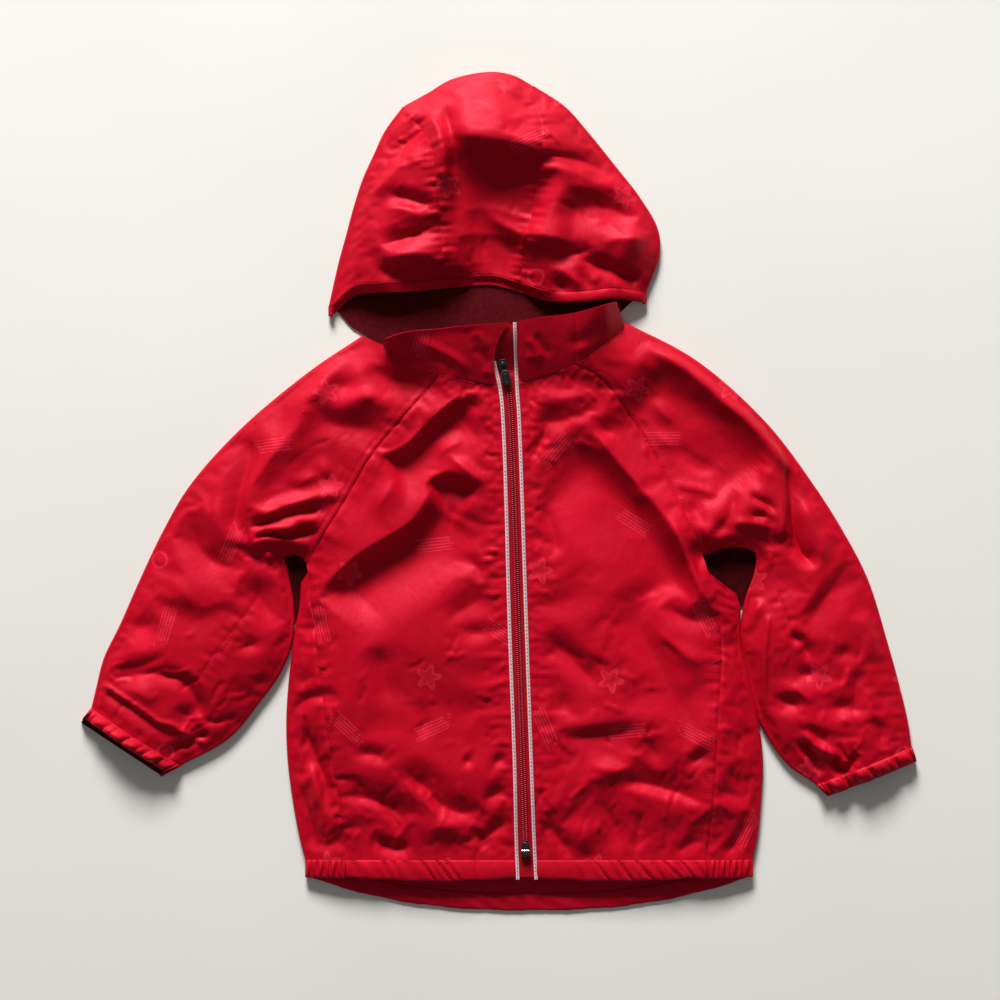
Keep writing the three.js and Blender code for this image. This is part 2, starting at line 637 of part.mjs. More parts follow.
// Brim casing: from under the right corner, over the top layer, to under the left corner.
function hoodBand() {
  const edges = { right: hoodSideAt('right', 0), left: hoodSideAt('left', 0) };
  const centre = hoodCentreAt(0);
  const turnOf = (s) => (s < 1 ? 2 * (1 - s) : 2 * Math.max(s - 2, 0));
  const path = (s) => {
    if (s < 1) return edges.right(turnOf(s), 1);
    if (s > 2) return edges.left(turnOf(s), 1);
    return centre(s - 1, 0);
  };
  const at = (s, v) => {
    const point = path(s);
    point.y += brimBand * v;
    if (turnOf(s) < 1) point.z = hoodTop(point.x, point.y);
    if (turnOf(s) > 1) point.z += (turnOf(s) - 1) * (brimWall - wall) / 2;
    return point;
  };
  const corner = [2, 1.75, 1.5, 1.25, ...steps(hoodSideSteps, 1, 0)];
  const us = [
    ...corner.map((turn) => 1 - turn / 2),
    ...steps(hoodCentreSteps, 1, 2).slice(1),
    ...corner.reverse().slice(1).map((turn) => 2 + turn / 2),
  ];
  return clothWall(at, us, [0, 0.5, 1], { thickness: brimWall });
}

// Chin flaps at the top of the front opening
function chin(hand) {
  const rows = hand === 'left' ? chinLeft : chinRight;
  const low = curveOf(rows, 'lowX', 'lowY');
  const high = curveOf(rows, 'highX', 'highY');
  const bends = curveOf(rows, 'bend', 'bend');
  const bend = (u) => bends(u).x;
  const at = (u, v) => {
    const point = low(u).lerp(high(u), v);
    point.x += bend(u) * 4 * v * (1 - v);
    const base = bodyTop(low(u).x, low(u).y - 1);
    return point.setZ(base + 3.2 * v * (2 - v) + 1.2 * Math.sin(9 * u) * v);
  };
  return clothWall(at, steps(12), steps(5));
}

// Zip
const zipCentre = (y) => (zipX.right(y) + zipX.left(y)) / 2;

// A strip along the zip, between two edges given as functions of y.
function zipStrip(left, right, yLow, yHigh, lift, thickness, count = 24) {
  const at = (u, v) => {
    const y = lerp(yLow, yHigh, v);
    const x = lerp(left(y), right(y), u);
    return new THREE.Vector3(x, y, bodyTop(zipCentre(y), Math.min(y, 88)) + lift(y, u));
  };
  return clothWall(at, [0, 0.5, 1], steps(count), { thickness });
}

const chinRise = (y) => (y > 88 ? 3.2 * smooth((y - 88) / 44) : 0);

function zipTape(hand) {
  const sign = hand === 'left' ? 1 : -1;
  const inner = (y) => zipCentre(y) + sign * (zip.coil / 2 + seamHalf);
  const outer = (y) => zipX[hand](y) - sign * (zip.piping / 2 + seamHalf);
  const ends = [hem.y - hem.depth + 2, 84];
  const edges = hand === 'left' ? [inner, outer] : [outer, inner];
  return zipStrip(...edges, ...ends, () => -0.3, zip.tape);
}

function zipCoil() {
  const low = (y) => zipCentre(y) - zip.coil / 2;
  const high = (y) => zipCentre(y) + zip.coil / 2;
  const lift = (y, u) => 0.3 + 0.35 * Math.sin(Math.PI * u);
  return zipStrip(low, high, zipBox.top + 0.4, 92, lift, zip.coilHeight, 32);
}

function zipPiping(hand) {
  const half = zip.piping / 2;
  const top = hand === 'left' ? zip.top : zip.topRight;
  const lift = (y) => zip.pipingRise + chinRise(y);
  const low = (y) => zipX[hand](y) - half;
  const high = (y) => zipX[hand](y) + half;
  return zipStrip(low, high, hem.y - hem.depth, top, lift, wall);
}

// Slider, pull and bottom box are made flat and laid on the zip.

function extruded(points, depth) {
  const shape = new THREE.Shape(points.map(([x, y]) => new THREE.Vector2(x, y)));
  return new THREE.ExtrudeGeometry(shape, { depth, bevelEnabled: false });
}

function boxAt(width, length, height, x, y, z) {
  return new THREE.BoxGeometry(width, length, height).translate(x, y, z);
}

// Hard parts, joined and cut as solids
function toManifold(geometry) {
  const bare = geometry.clone();
  bare.deleteAttribute('normal');
  bare.deleteAttribute('uv');
  const merged = mergeVertices(bare, 1e-4);
  return new wasm.Manifold(new wasm.Mesh({
    numProp: 3,
    vertProperties: new Float32Array(merged.attributes.position.array),
    triVerts: new Uint32Array(merged.index.array),
  }));
}

function fromManifold(solid) {
  const mesh = solid.getMesh();
  const geometry = new THREE.BufferGeometry();
  geometry.setAttribute('position', new THREE.Float32BufferAttribute(mesh.vertProperties, 3));
  geometry.setIndex(Array.from(mesh.triVerts));
  return geometry;
}

function joined(geometries) {
  return fromManifold(wasm.Manifold.union(geometries.map(toManifold)));
}

function sliderGeometry() {
  const { width, length, plate, gap } = slider;
  const w = width / 2;
  const l = length / 2;
  const outline = [[-w * 0.62, -l], [w * 0.62, -l], [w, l * 0.3], [w * 0.7, l], [-w * 0.7, l], [-w, l * 0.3]];
  const lower = extruded(outline, plate).translate(0, 0, -gap / 2 - plate);
  const upper = extruded(outline, plate).translate(0, 0, gap / 2);
  const post = boxAt(2.4, 3.2, gap + plate, 0, l - 1.7, 0);
  const top = gap / 2 + plate;
  const legs = [-1, 1].map((end) => boxAt(crownArch.width, crownArch.bar, crownArch.inside + 0.6, 0,
    crownArch.y + end * (pull.eye + crownArch.bar / 2), top + crownArch.inside / 2));
  const bridge = boxAt(crownArch.width, 2 * (pull.eye + crownArch.bar), crownArch.bar, 0, crownArch.y,
    top + crownArch.inside + crownArch.bar / 2);
  return joined([lower, upper, post, ...legs, bridge]);
}

// The tab starts at the eye bar, whose axis is the origin, and points to -Y.
function pullGeometry() {
  const { length, head, foot, thick } = pull;
  const window = { width: crownArch.width + 0.8, length: 3.2 };
  const side = foot / 2;
  const outline = [[-head / 2, 0.6], [head / 2, 0.6], [side, -length * 0.55], [side, -length + 1.2],
    [side - 1.2, -length], [-side + 1.2, -length], [-side, -length + 1.2], [-side, -length * 0.55]];
  const tab = toManifold(extruded(outline, thick).translate(0, 0, -thick / 2));
  const eye = toManifold(boxAt(window.width, window.length, thick * 3, 0, -window.length / 2 - 0.6, 0));
  return fromManifold(tab.subtract(eye));
}

// Assembly
const part = new THREE.Group();

function add(name, geometry, colour, roughness = 0.55, metalness = 0) {
  const material = new THREE.MeshStandardMaterial({ color: colour, roughness, metalness });
  const mesh = new THREE.Mesh(geometry, material);
  mesh.name = name;
  part.add(mesh);
  return mesh;
}

add('back', backPanel(), colours.cloth);
for (const hand of ['right', 'left']) {
  add(`front_${hand}`, frontPanel(hand), colours.cloth);
  const arm = sleeve(hand);
  add(`sleeve_${hand}`, arm.upper, colours.cloth);
  add(`sleeve_under_${hand}`, arm.under, colours.cloth);
  add(`cuff_${hand}`, cuff(hand, arm.at, hand === 'left' ? cuffLeft : cuffRight), colours.casing);
  add(`hem_front_${hand}`, hemFront(hand), colours.casing);
  add(`hood_side_${hand}`, hoodSide(hand), colours.cloth);
  add(`chin_${hand}`, chin(hand), colours.cloth);
  add(`zip_tape_${hand}`, zipTape(hand), colours.coil);
  add(`zip_piping_${hand}`, zipPiping(hand), colours.piping, 0.35);
}
add('hem_back', hemBack(), colours.casing);
add('hood_centre', hoodCentre(), colours.cloth);
add('hood_band', hoodBand(), colours.casing);
add('zip_coil', zipCoil(), colours.coil, 0.45);

const zipZ = bodyTop(zipCentre(84), 84);
const sliderGroup = new THREE.Group();
sliderGroup.position.set(slider.x, slider.y, zipZ + 0.5);
sliderGroup.rotation.z = slider.turn;
part.add(sliderGroup);
sliderGroup.add(add('zip_slider', sliderGeometry(), colours.metal, 0.35, 0.8));
const pullMesh = add('zip_pull', pullGeometry(), colours.metal, 0.35, 0.8);
pullMesh.position.set(0, crownArch.y, slider.gap / 2 + slider.plate + crownArch.inside / 2);
sliderGroup.add(pullMesh);
const boxShape = boxAt(zipBox.width, zipBox.top - zipBox.low, zipBox.height, 0, 0, 0);
const boxMesh = add('zip_box', boxShape, colours.metal, 0.35, 0.8);
const boxY = (zipBox.top + zipBox.low) / 2;
boxMesh.position.set(zipCentre(boxY), boxY, bodyTop(zipCentre(boxY), boxY) + 2.6);

export default part;
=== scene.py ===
import math
import bpy
import numpy as np
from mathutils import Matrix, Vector


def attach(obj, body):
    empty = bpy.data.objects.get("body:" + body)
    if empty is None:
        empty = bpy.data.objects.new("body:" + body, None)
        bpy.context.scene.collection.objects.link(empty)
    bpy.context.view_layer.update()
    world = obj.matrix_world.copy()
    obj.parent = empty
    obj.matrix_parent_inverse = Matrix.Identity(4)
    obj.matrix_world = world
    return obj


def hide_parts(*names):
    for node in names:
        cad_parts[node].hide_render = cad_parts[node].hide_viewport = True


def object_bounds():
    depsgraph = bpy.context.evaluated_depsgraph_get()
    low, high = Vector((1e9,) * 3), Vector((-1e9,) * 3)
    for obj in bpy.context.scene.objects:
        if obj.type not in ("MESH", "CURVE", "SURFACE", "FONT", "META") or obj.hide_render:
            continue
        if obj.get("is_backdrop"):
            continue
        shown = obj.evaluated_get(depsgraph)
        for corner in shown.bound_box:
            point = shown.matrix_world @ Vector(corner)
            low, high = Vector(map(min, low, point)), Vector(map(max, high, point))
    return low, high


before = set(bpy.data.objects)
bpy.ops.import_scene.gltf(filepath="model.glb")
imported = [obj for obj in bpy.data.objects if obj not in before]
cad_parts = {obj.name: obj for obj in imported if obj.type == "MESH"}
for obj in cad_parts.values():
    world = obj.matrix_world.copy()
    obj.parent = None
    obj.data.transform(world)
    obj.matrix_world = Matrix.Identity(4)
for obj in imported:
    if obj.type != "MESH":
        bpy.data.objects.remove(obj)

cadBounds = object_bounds()
mm = 0.001

# Tables: one row for each section or fold, millimetres in the frame's own axes.

def tableOf(columns, rows):
    names = columns.split()
    return {name: np.array([row[i] for row in rows], float) for i, name in enumerate(names)}


zipRows = tableOf("y right left", [
    (-309, 15.0, 29.6), (-278, 13.8, 28.0), (-214, 12.3, 25.6), (-102, 8.2, 21.6), (-6, 5.6, 18.4),
    (58, 3.2, 16.0), (82, 0.9, 14.4), (110, -5.2, 13.2), (134, -9.0, 12.4)])

sideRows = tableOf("y foldRight seamRight seamLeft foldLeft", [
    (-294, -155, -122.8, 166, 203), (-274, -160, -123.6, 167.6, 207), (-246, -165, -126.8, 170, 209.6),
    (-214, -169, -132, 172, 211), (-182, -170, -137.2, 173.6, 207), (-150, -168, -141.6, 175.6, 200),
    (-126, -165.2, -144.4, 177.2, 194.4), (-102, -162, -147.2, 176, 193), (-82, -159.5, -150, 172.8, 193),
    (-64, -158.5, -152.6, 166.6, 190)])

raglan = {
    "right": [(-154, -58), (-128, -16), (-101, 29), (-81, 54), (-60, 78), (-46, 96)],
    "left": [(163, -51), (145, -11), (122, 33), (95, 74), (79, 92), (58, 103)]}
neckTop = {"right": 85.5, "left": 88.5}

sleeveColumns = "outerX outerY innerX innerY"
sleeveRows = {
    "right": tableOf(sleeveColumns, [
        (-109, 125, -155, -57), (-152, 96, -160, -51), (-208, 49, -171, -51), (-248, 4, -168.5, -66),
        (-269, -32, -164.0, -92), (-288, -72, -165.4, -120), (-303, -106, -175, -145),
        (-316, -133, -192, -169), (-321.5, -154, -216, -197), (-326, -173, -255, -219)]),
    "left": tableOf(sleeveColumns, [
        (98, 137, 164, -49), (158, 105, 187, -43), (214, 55, 205, -49), (252, 5, 204.5, -64),
        (276, -33, 196, -90), (295, -70, 193.4, -118), (310, -118, 199.2, -150),
        (321, -158, 207.5, -182), (327, -184, 230, -217), (330, -204, 254, -234)])}

hoodColumns = "foldX foldY topX topY underX underY"
hoodRows = {
    "right": tableOf(hoodColumns, [
        (-76.6, 308.4, -74, 307, -74, 307), (-91, 289, -64, 293, -66, 288), (-100, 270, -53, 274, -58, 262),
        (-109, 250, -49, 249, -50, 230), (-116, 228, -47, 225, -42, 196), (-122, 203, -46, 202, -37, 162),
        (-128, 178, -44, 180, -33, 130), (-136, 141, -43, 163, -30, 98.3)]),
    "left": tableOf(hoodColumns, [
        (27.4, 325, 25, 323, 25, 323), (53, 308, 31, 300, 33, 298), (71, 288, 34, 279, 37, 270),
        (92, 262, 32, 256, 37, 236), (112, 236, 28, 230, 36, 200), (127, 207, 23, 203, 35, 166),
        (128, 182, 19, 180, 34, 134), (117.5, 151.5, 17, 160, 33, 102.5)])}
nape = {
    "right": [(-136, 141), (-121, 133), (-107, 125), (-88, 113), (-60, 100), (-30, 94)],
    "left": [(117.5, 151.5), (98, 144), (88, 122), (61, 103), (33, 98)]}
crownLine = [(-75.4, 308.9), (-57, 319), (-38, 330), (-7, 336), (12, 333), (26.2, 325.2)]
brimRows = tableOf("x y", [
    (-136, 141), (-118, 156), (-99, 158.5), (-68, 160), (-33, 164), (-7, 166), (17, 160),
    (42, 152), (68, 151.5), (94, 154), (117.5, 151.5)])

# Curves, and tables read as smooth functions.

def smoothLine(points, count=481):
    # centripetal Catmull-Rom through the points, evenly spread over their numbers
    p = np.array(points, float)
    ext = np.vstack([2 * p[0] - p[1], p, 2 * p[-1] - p[-2]])
    place = np.linspace(0, 1, count) * (len(p) - 1)
    k = np.minimum(place.astype(int), len(p) - 2)
    w = (place - k)[:, None]
    a, b, c, d = ext[k], ext[k + 1], ext[k + 2], ext[k + 3]
    gap = lambda m, n: (np.maximum(np.sum((m - n) ** 2, axis=1), 1e-12) ** 0.25)[:, None]
    ab, bc, cd = gap(a, b), gap(b, c), gap(c, d)
    start = ((b - a) / ab - (c - a) / (ab + bc) + (c - b) / bc) * bc
    end = ((c - b) / bc - (d - b) / (bc + cd) + (d - c) / cd) * bc
    return b + start * w + (3 * (c - b) - 2 * start - end) * w ** 2 + (2 * (b - c) + start + end) * w ** 3


def along(line, t):
    # points of a dense line at shares t of its numbers
    t = np.clip(np.asarray(t, float), 0, 1) * (len(line) - 1)
    k = np.minimum(t.astype(int), len(line) - 2)
    f = (t - k)[..., None]
    return line[k] * (1 - f) + line[k + 1] * f


def columnAt(table, key, name, at):
    # a column as a smooth function of another
    x, y = table[key], table[name]
    slope = np.empty_like(y)
    slope[1:-1] = (y[2:] - y[:-2]) / (x[2:] - x[:-2])
    slope[0], slope[-1] = (y[1] - y[0]) / (x[1] - x[0]), (y[-1] - y[-2]) / (x[-1] - x[-2])
    at = np.asarray(at, float)
    k = np.clip(np.searchsorted(x, at) - 1, 0, len(x) - 2)
    h = x[k + 1] - x[k]
    t = (at - x[k]) / h
    p, q, m, n = y[k], y[k + 1], slope[k] * h, slope[k + 1] * h
    inside = p + t * (m + t * (3 * (q - p) - 2 * m - n + t * (m + n - 2 * (q - p))))
    return np.where((t < 0) | (t > 1), p + (q - p) * t, inside)


def lineOf(table, name):
    # the smooth line through a table's columns nameX and nameY
    return smoothLine(np.stack([table[name + "X"], table[name + "Y"]], axis=1))


def smoothStep(t):
    t = np.clip(t, 0, 1)
    return t * t * (3 - 2 * t)


def stack(x, y, z):
    return np.stack(np.broadcast_arrays(x, y, z), axis=-1).astype(float)


def lerp(a, b, t):
    return a + (b - a) * t


def zipX(hand, y):
    return columnAt(zipRows, "y", hand, y)


def zipCentre(y):
    return (zipX("right", y) + zipX("left", y)) / 2


# Sizes of the cloth, millimetres, and the sides: the wearer's right lies at -X.
cloth = {
    "wall": 0.6, "ground": 0.4, "roll": 2.6, "seamHalf": 0.03, "step": 1.9, "underStep": 5.0,
    "pillowHeight": 8.5, "pillowReach": 44, "hoodHeight": 21, "hoodReach": 66,
    "hemY": -293.5, "tail": 28, "tailRound": 2.4, "hemLowered": 0.52, "hemFade": 62,
    "underarmY": -64, "brimBand": 7.5, "neckPart": 0.2, "relief": 1.2, "spread": 1.35, "tuck": 1.0}
ground, roll, seamHalf, hemY = cloth["ground"], cloth["roll"], cloth["seamHalf"], cloth["hemY"]
signs = {"right": -1, "left": 1}
seamOf = {"right": "seamRight", "left": "seamLeft"}
rng = np.random.default_rng(7)

# Height fields: what the upper layers do, sampled by every panel.

def newField(x0, x1, y0, y1, pitch):
    xs, ys = np.arange(x0, x1 + pitch, pitch), np.arange(y0, y1 + pitch, pitch)
    grid = np.meshgrid(xs, ys)
    return {"x0": x0, "y0": y0, "pitch": pitch, "x": grid[0], "y": grid[1], "z": np.zeros(grid[0].shape)}


def heightAt(field, x, y):
    # smooth cubic reading of the raster
    x, y = np.asarray(x, float), np.asarray(y, float)
    rows, columns = field["z"].shape
    fx = np.clip((x - field["x0"]) / field["pitch"], 1, columns - 2.001)
    fy = np.clip((y - field["y0"]) / field["pitch"], 1, rows - 2.001)
    i, j = fx.astype(int), fy.astype(int)
    u, v = fx - i, fy - j
    weights = lambda t: (0.5 * (-t + 2 * t ** 2 - t ** 3), 0.5 * (2 - 5 * t ** 2 + 3 * t ** 3),
                         0.5 * (t + 4 * t ** 2 - 3 * t ** 3), 0.5 * (t ** 3 - t ** 2))
    wx, wy = weights(u), weights(v)
    total = 0
    for b in range(4):
        for a in range(4):
            total = total + field["z"][np.clip(j + b - 1, 0, rows - 1), np.clip(i + a - 1, 0, columns - 1)] \
                * wx[a] * wy[b]
    return total


def window(field, line, reach):
    # the part of a field within reach of a line
    x0, y0 = line.min(axis=0) - reach
    x1, y1 = line.max(axis=0) + reach
    column = lambda x: int(np.clip((x - field["x0"]) / field["pitch"], 0, field["z"].shape[1]))
    row = lambda y: int(np.clip((y - field["y0"]) / field["pitch"], 0, field["z"].shape[0]))
    return slice(row(y0), row(y1) + 2), slice(column(x0), column(x1) + 2)


def acrossLine(line, x, y):
    # distance, share along, and side of the nearest place on a line, and its whole length
    best = np.full(x.shape, 1e9)
    share = np.zeros(x.shape)
    side = np.ones(x.shape)
    steps = np.hypot(*np.diff(line, axis=0).T)
    total = steps.sum()
    start = 0
    for i in range(len(line) - 1):
        ax, ay = line[i]
        dx, dy = line[i + 1] - line[i]
        raw = ((x - ax) * dx + (y - ay) * dy) / (steps[i] ** 2)
        t = np.clip(raw, 0, 1)
        d = np.hypot(x - ax - t * dx, y - ay - t * dy)
        closer = d < best
        best = np.where(closer, d, best)
        share = np.where(closer, (start + t * steps[i]) / total, share)
        side = np.where(closer, np.sign((y - ay) * dx - (x - ax) * dy), side)
        start += steps[i]
    return best, share, side, total


def addCrease(field, height, width, sharp, skew, *points):
    # a ridge (or a trough when height is negative) with tapering ends; skew makes its left side wider
    line = smoothLine(np.array(points, float).reshape(-1, 2), 17)
    width, sharp = width * cloth["spread"], min(1, sharp + .3)
    part = window(field, line, width * (1 + abs(skew)))
    x, y = field["x"][part], field["y"][part]
    if x.size == 0:
        return
    d, share, side, total = acrossLine(line, x, y)
    t = np.clip(1 - d / (width * (1 + skew * side)), 0, 1)
    profile = (1 - sharp) * t * t * (3 - 2 * t) + sharp * t ** 1.8
    ends = min(0.48, 1.3 * width / total)
    taper = smoothStep(share / ends) * smoothStep((1 - share) / ends)
    phase = rng.uniform(0, 6.28)
    uneven = 1 + 0.22 * np.sin(share * total / 17 + phase) * (1 - sharp * 0.3)
    field["z"][part] += cloth["relief"] * height * profile * taper * uneven


def addStep(field, depth, width, crest, *points):
    # the edge of a broad plate: crisp along the line, falling away on its left, then slowly rising again
    line = smoothLine(np.array(points, float).reshape(-1, 2), 17)
    part = window(field, line, width * 3.6)
    x, y = field["x"][part], field["y"][part]
    d, share, side, _ = acrossLine(line, x, y)
    t = d / width
    fall = np.where(side > 0, np.where(t < 1, t * (2 - t), 1 - smoothStep((t - 1) / 2.6)), 0)
    taper = smoothStep(share / .2) * smoothStep((1 - share) / .2)
    field["z"][part] += cloth["relief"] * (crest * np.exp(-28 * t / width) - depth * fall) * taper


def unevenAlong(station, lengths, seed):
    # waves of mixed lengths that never quite repeat
    own = np.random.default_rng(seed)
    total = 0
    for length in lengths:
        wander = own.uniform(0.12, 0.3) * np.sin(station / (length * 2.7) + own.uniform(0, 6.28))
        total = total + np.sin(2 * math.pi * station / length + own.uniform(0, 6.28) + 4 * wander)
    return total / len(lengths)


def addSeam(field, line, depth, width, pucker, reach, seed, lengths=(8, 12.5, 19)):
    # a seam lies low, and the cloth beside it gathers in short waves across it
    line = line[::len(line) // 60] if len(line) > 70 else line
    part = window(field, line, reach * 2.6)
    x, y = field["x"][part], field["y"][part]
    d, share, side, total = acrossLine(line, x, y)
    inside = smoothStep(share * total / 8 + 0.2) * smoothStep((1 - share) * total / 8 + 0.2)
    wave = unevenAlong(share * total + 3 * side, lengths, seed) * np.exp(-(d / reach) ** 1.6)
    near = 1 - 0.6 * np.exp(-(d / 2.2) ** 2)
    field["z"][part] += (pucker * wave * near - depth * np.exp(-(d / width) ** 2)) * inside


def offsetLine(line, distance):
    # the line moved to its left by a distance
    tangent = np.gradient(line, axis=0)
    tangent /= np.maximum(np.hypot(*tangent.T), 1e-9)[:, None]
    return line + distance * np.stack([-tangent[:, 1], tangent[:, 0]], axis=1)


ys = np.linspace(hemY, cloth["underarmY"], 60)
sideLine = {name: np.stack([columnAt(sideRows, "y", name, ys), ys], axis=1)
            for name in ("foldRight", "seamRight", "seamLeft", "foldLeft")}
raglanLine = {hand: smoothLine(raglan[hand]) for hand in signs}
sleeveEdge = {(hand, edge): lineOf(sleeveRows[hand], edge) for hand in signs for edge in ("outer", "inner")}
hoodEdge = {(hand, edge): lineOf(hoodRows[hand], edge) for hand in signs for edge in ("fold", "top", "under")}
crown = smoothLine(crownLine)


def puff(distance, height, reach):
    # how far cloth stands up at a distance from its fold
    t = np.clip((distance - roll) / reach, 0, 1)
    return height * t * (2 - t)


def farFrom(edges, field):
    return np.minimum.reduce([acrossLine(line, field["x"], field["y"])[0] for line in edges])


# The body's form before its creases: low at the hem, raised at the collar and where cloth bridges
# the underarms, given as middle, reach and rise.
bodySize = {"field": (-345, 345, -325, 155, 1.3), "torso": (-175, 216), "torsoFade": 20, "hemUntil": -60,
            "collarFrom": 80, "collarFade": 38, "collarMiddle": 4, "collarHalf": 118, "collarRise": 6.5}
underarms = [(184, -30, 30, 24, 6), (-176, -26, 26, 18, 6)]
body = newField(*bodySize["field"])
x, y = body["x"], body["y"]
bodyFolds = [line[::12] for line in sleeveEdge.values()] + [sideLine["foldRight"], sideLine["foldLeft"]]
distance = farFrom(bodyFolds, body)
lowered = cloth["hemLowered"] + (1 - cloth["hemLowered"]) * smoothStep((y - hemY) / cloth["hemFade"])
atTorso = smoothStep((x - bodySize["torso"][0]) / bodySize["torsoFade"]) \
    * smoothStep((bodySize["torso"][1] - x) / bodySize["torsoFade"])
share = np.where(y < bodySize["hemUntil"], 1 + (lowered - 1) * atTorso, 1)
bodyForm = ground + 2 * roll + puff(distance, cloth["pillowHeight"], cloth["pillowReach"]) * share
collar = smoothStep((y - bodySize["collarFrom"]) / bodySize["collarFade"]) \
    * smoothStep((bodySize["collarHalf"] - np.abs(x - bodySize["collarMiddle"])) / 40)
bodyForm += bodySize["collarRise"] * collar * smoothStep((distance - roll) / 20)
for x0, y0, reachX, reachY, rise in underarms:
    bodyForm += rise * np.exp(-((x - x0) / reachX) ** 2 - ((y - y0) / reachY) ** 2)
nearFold = smoothStep((distance - roll) / 12)
print("body form", body["z"].shape)

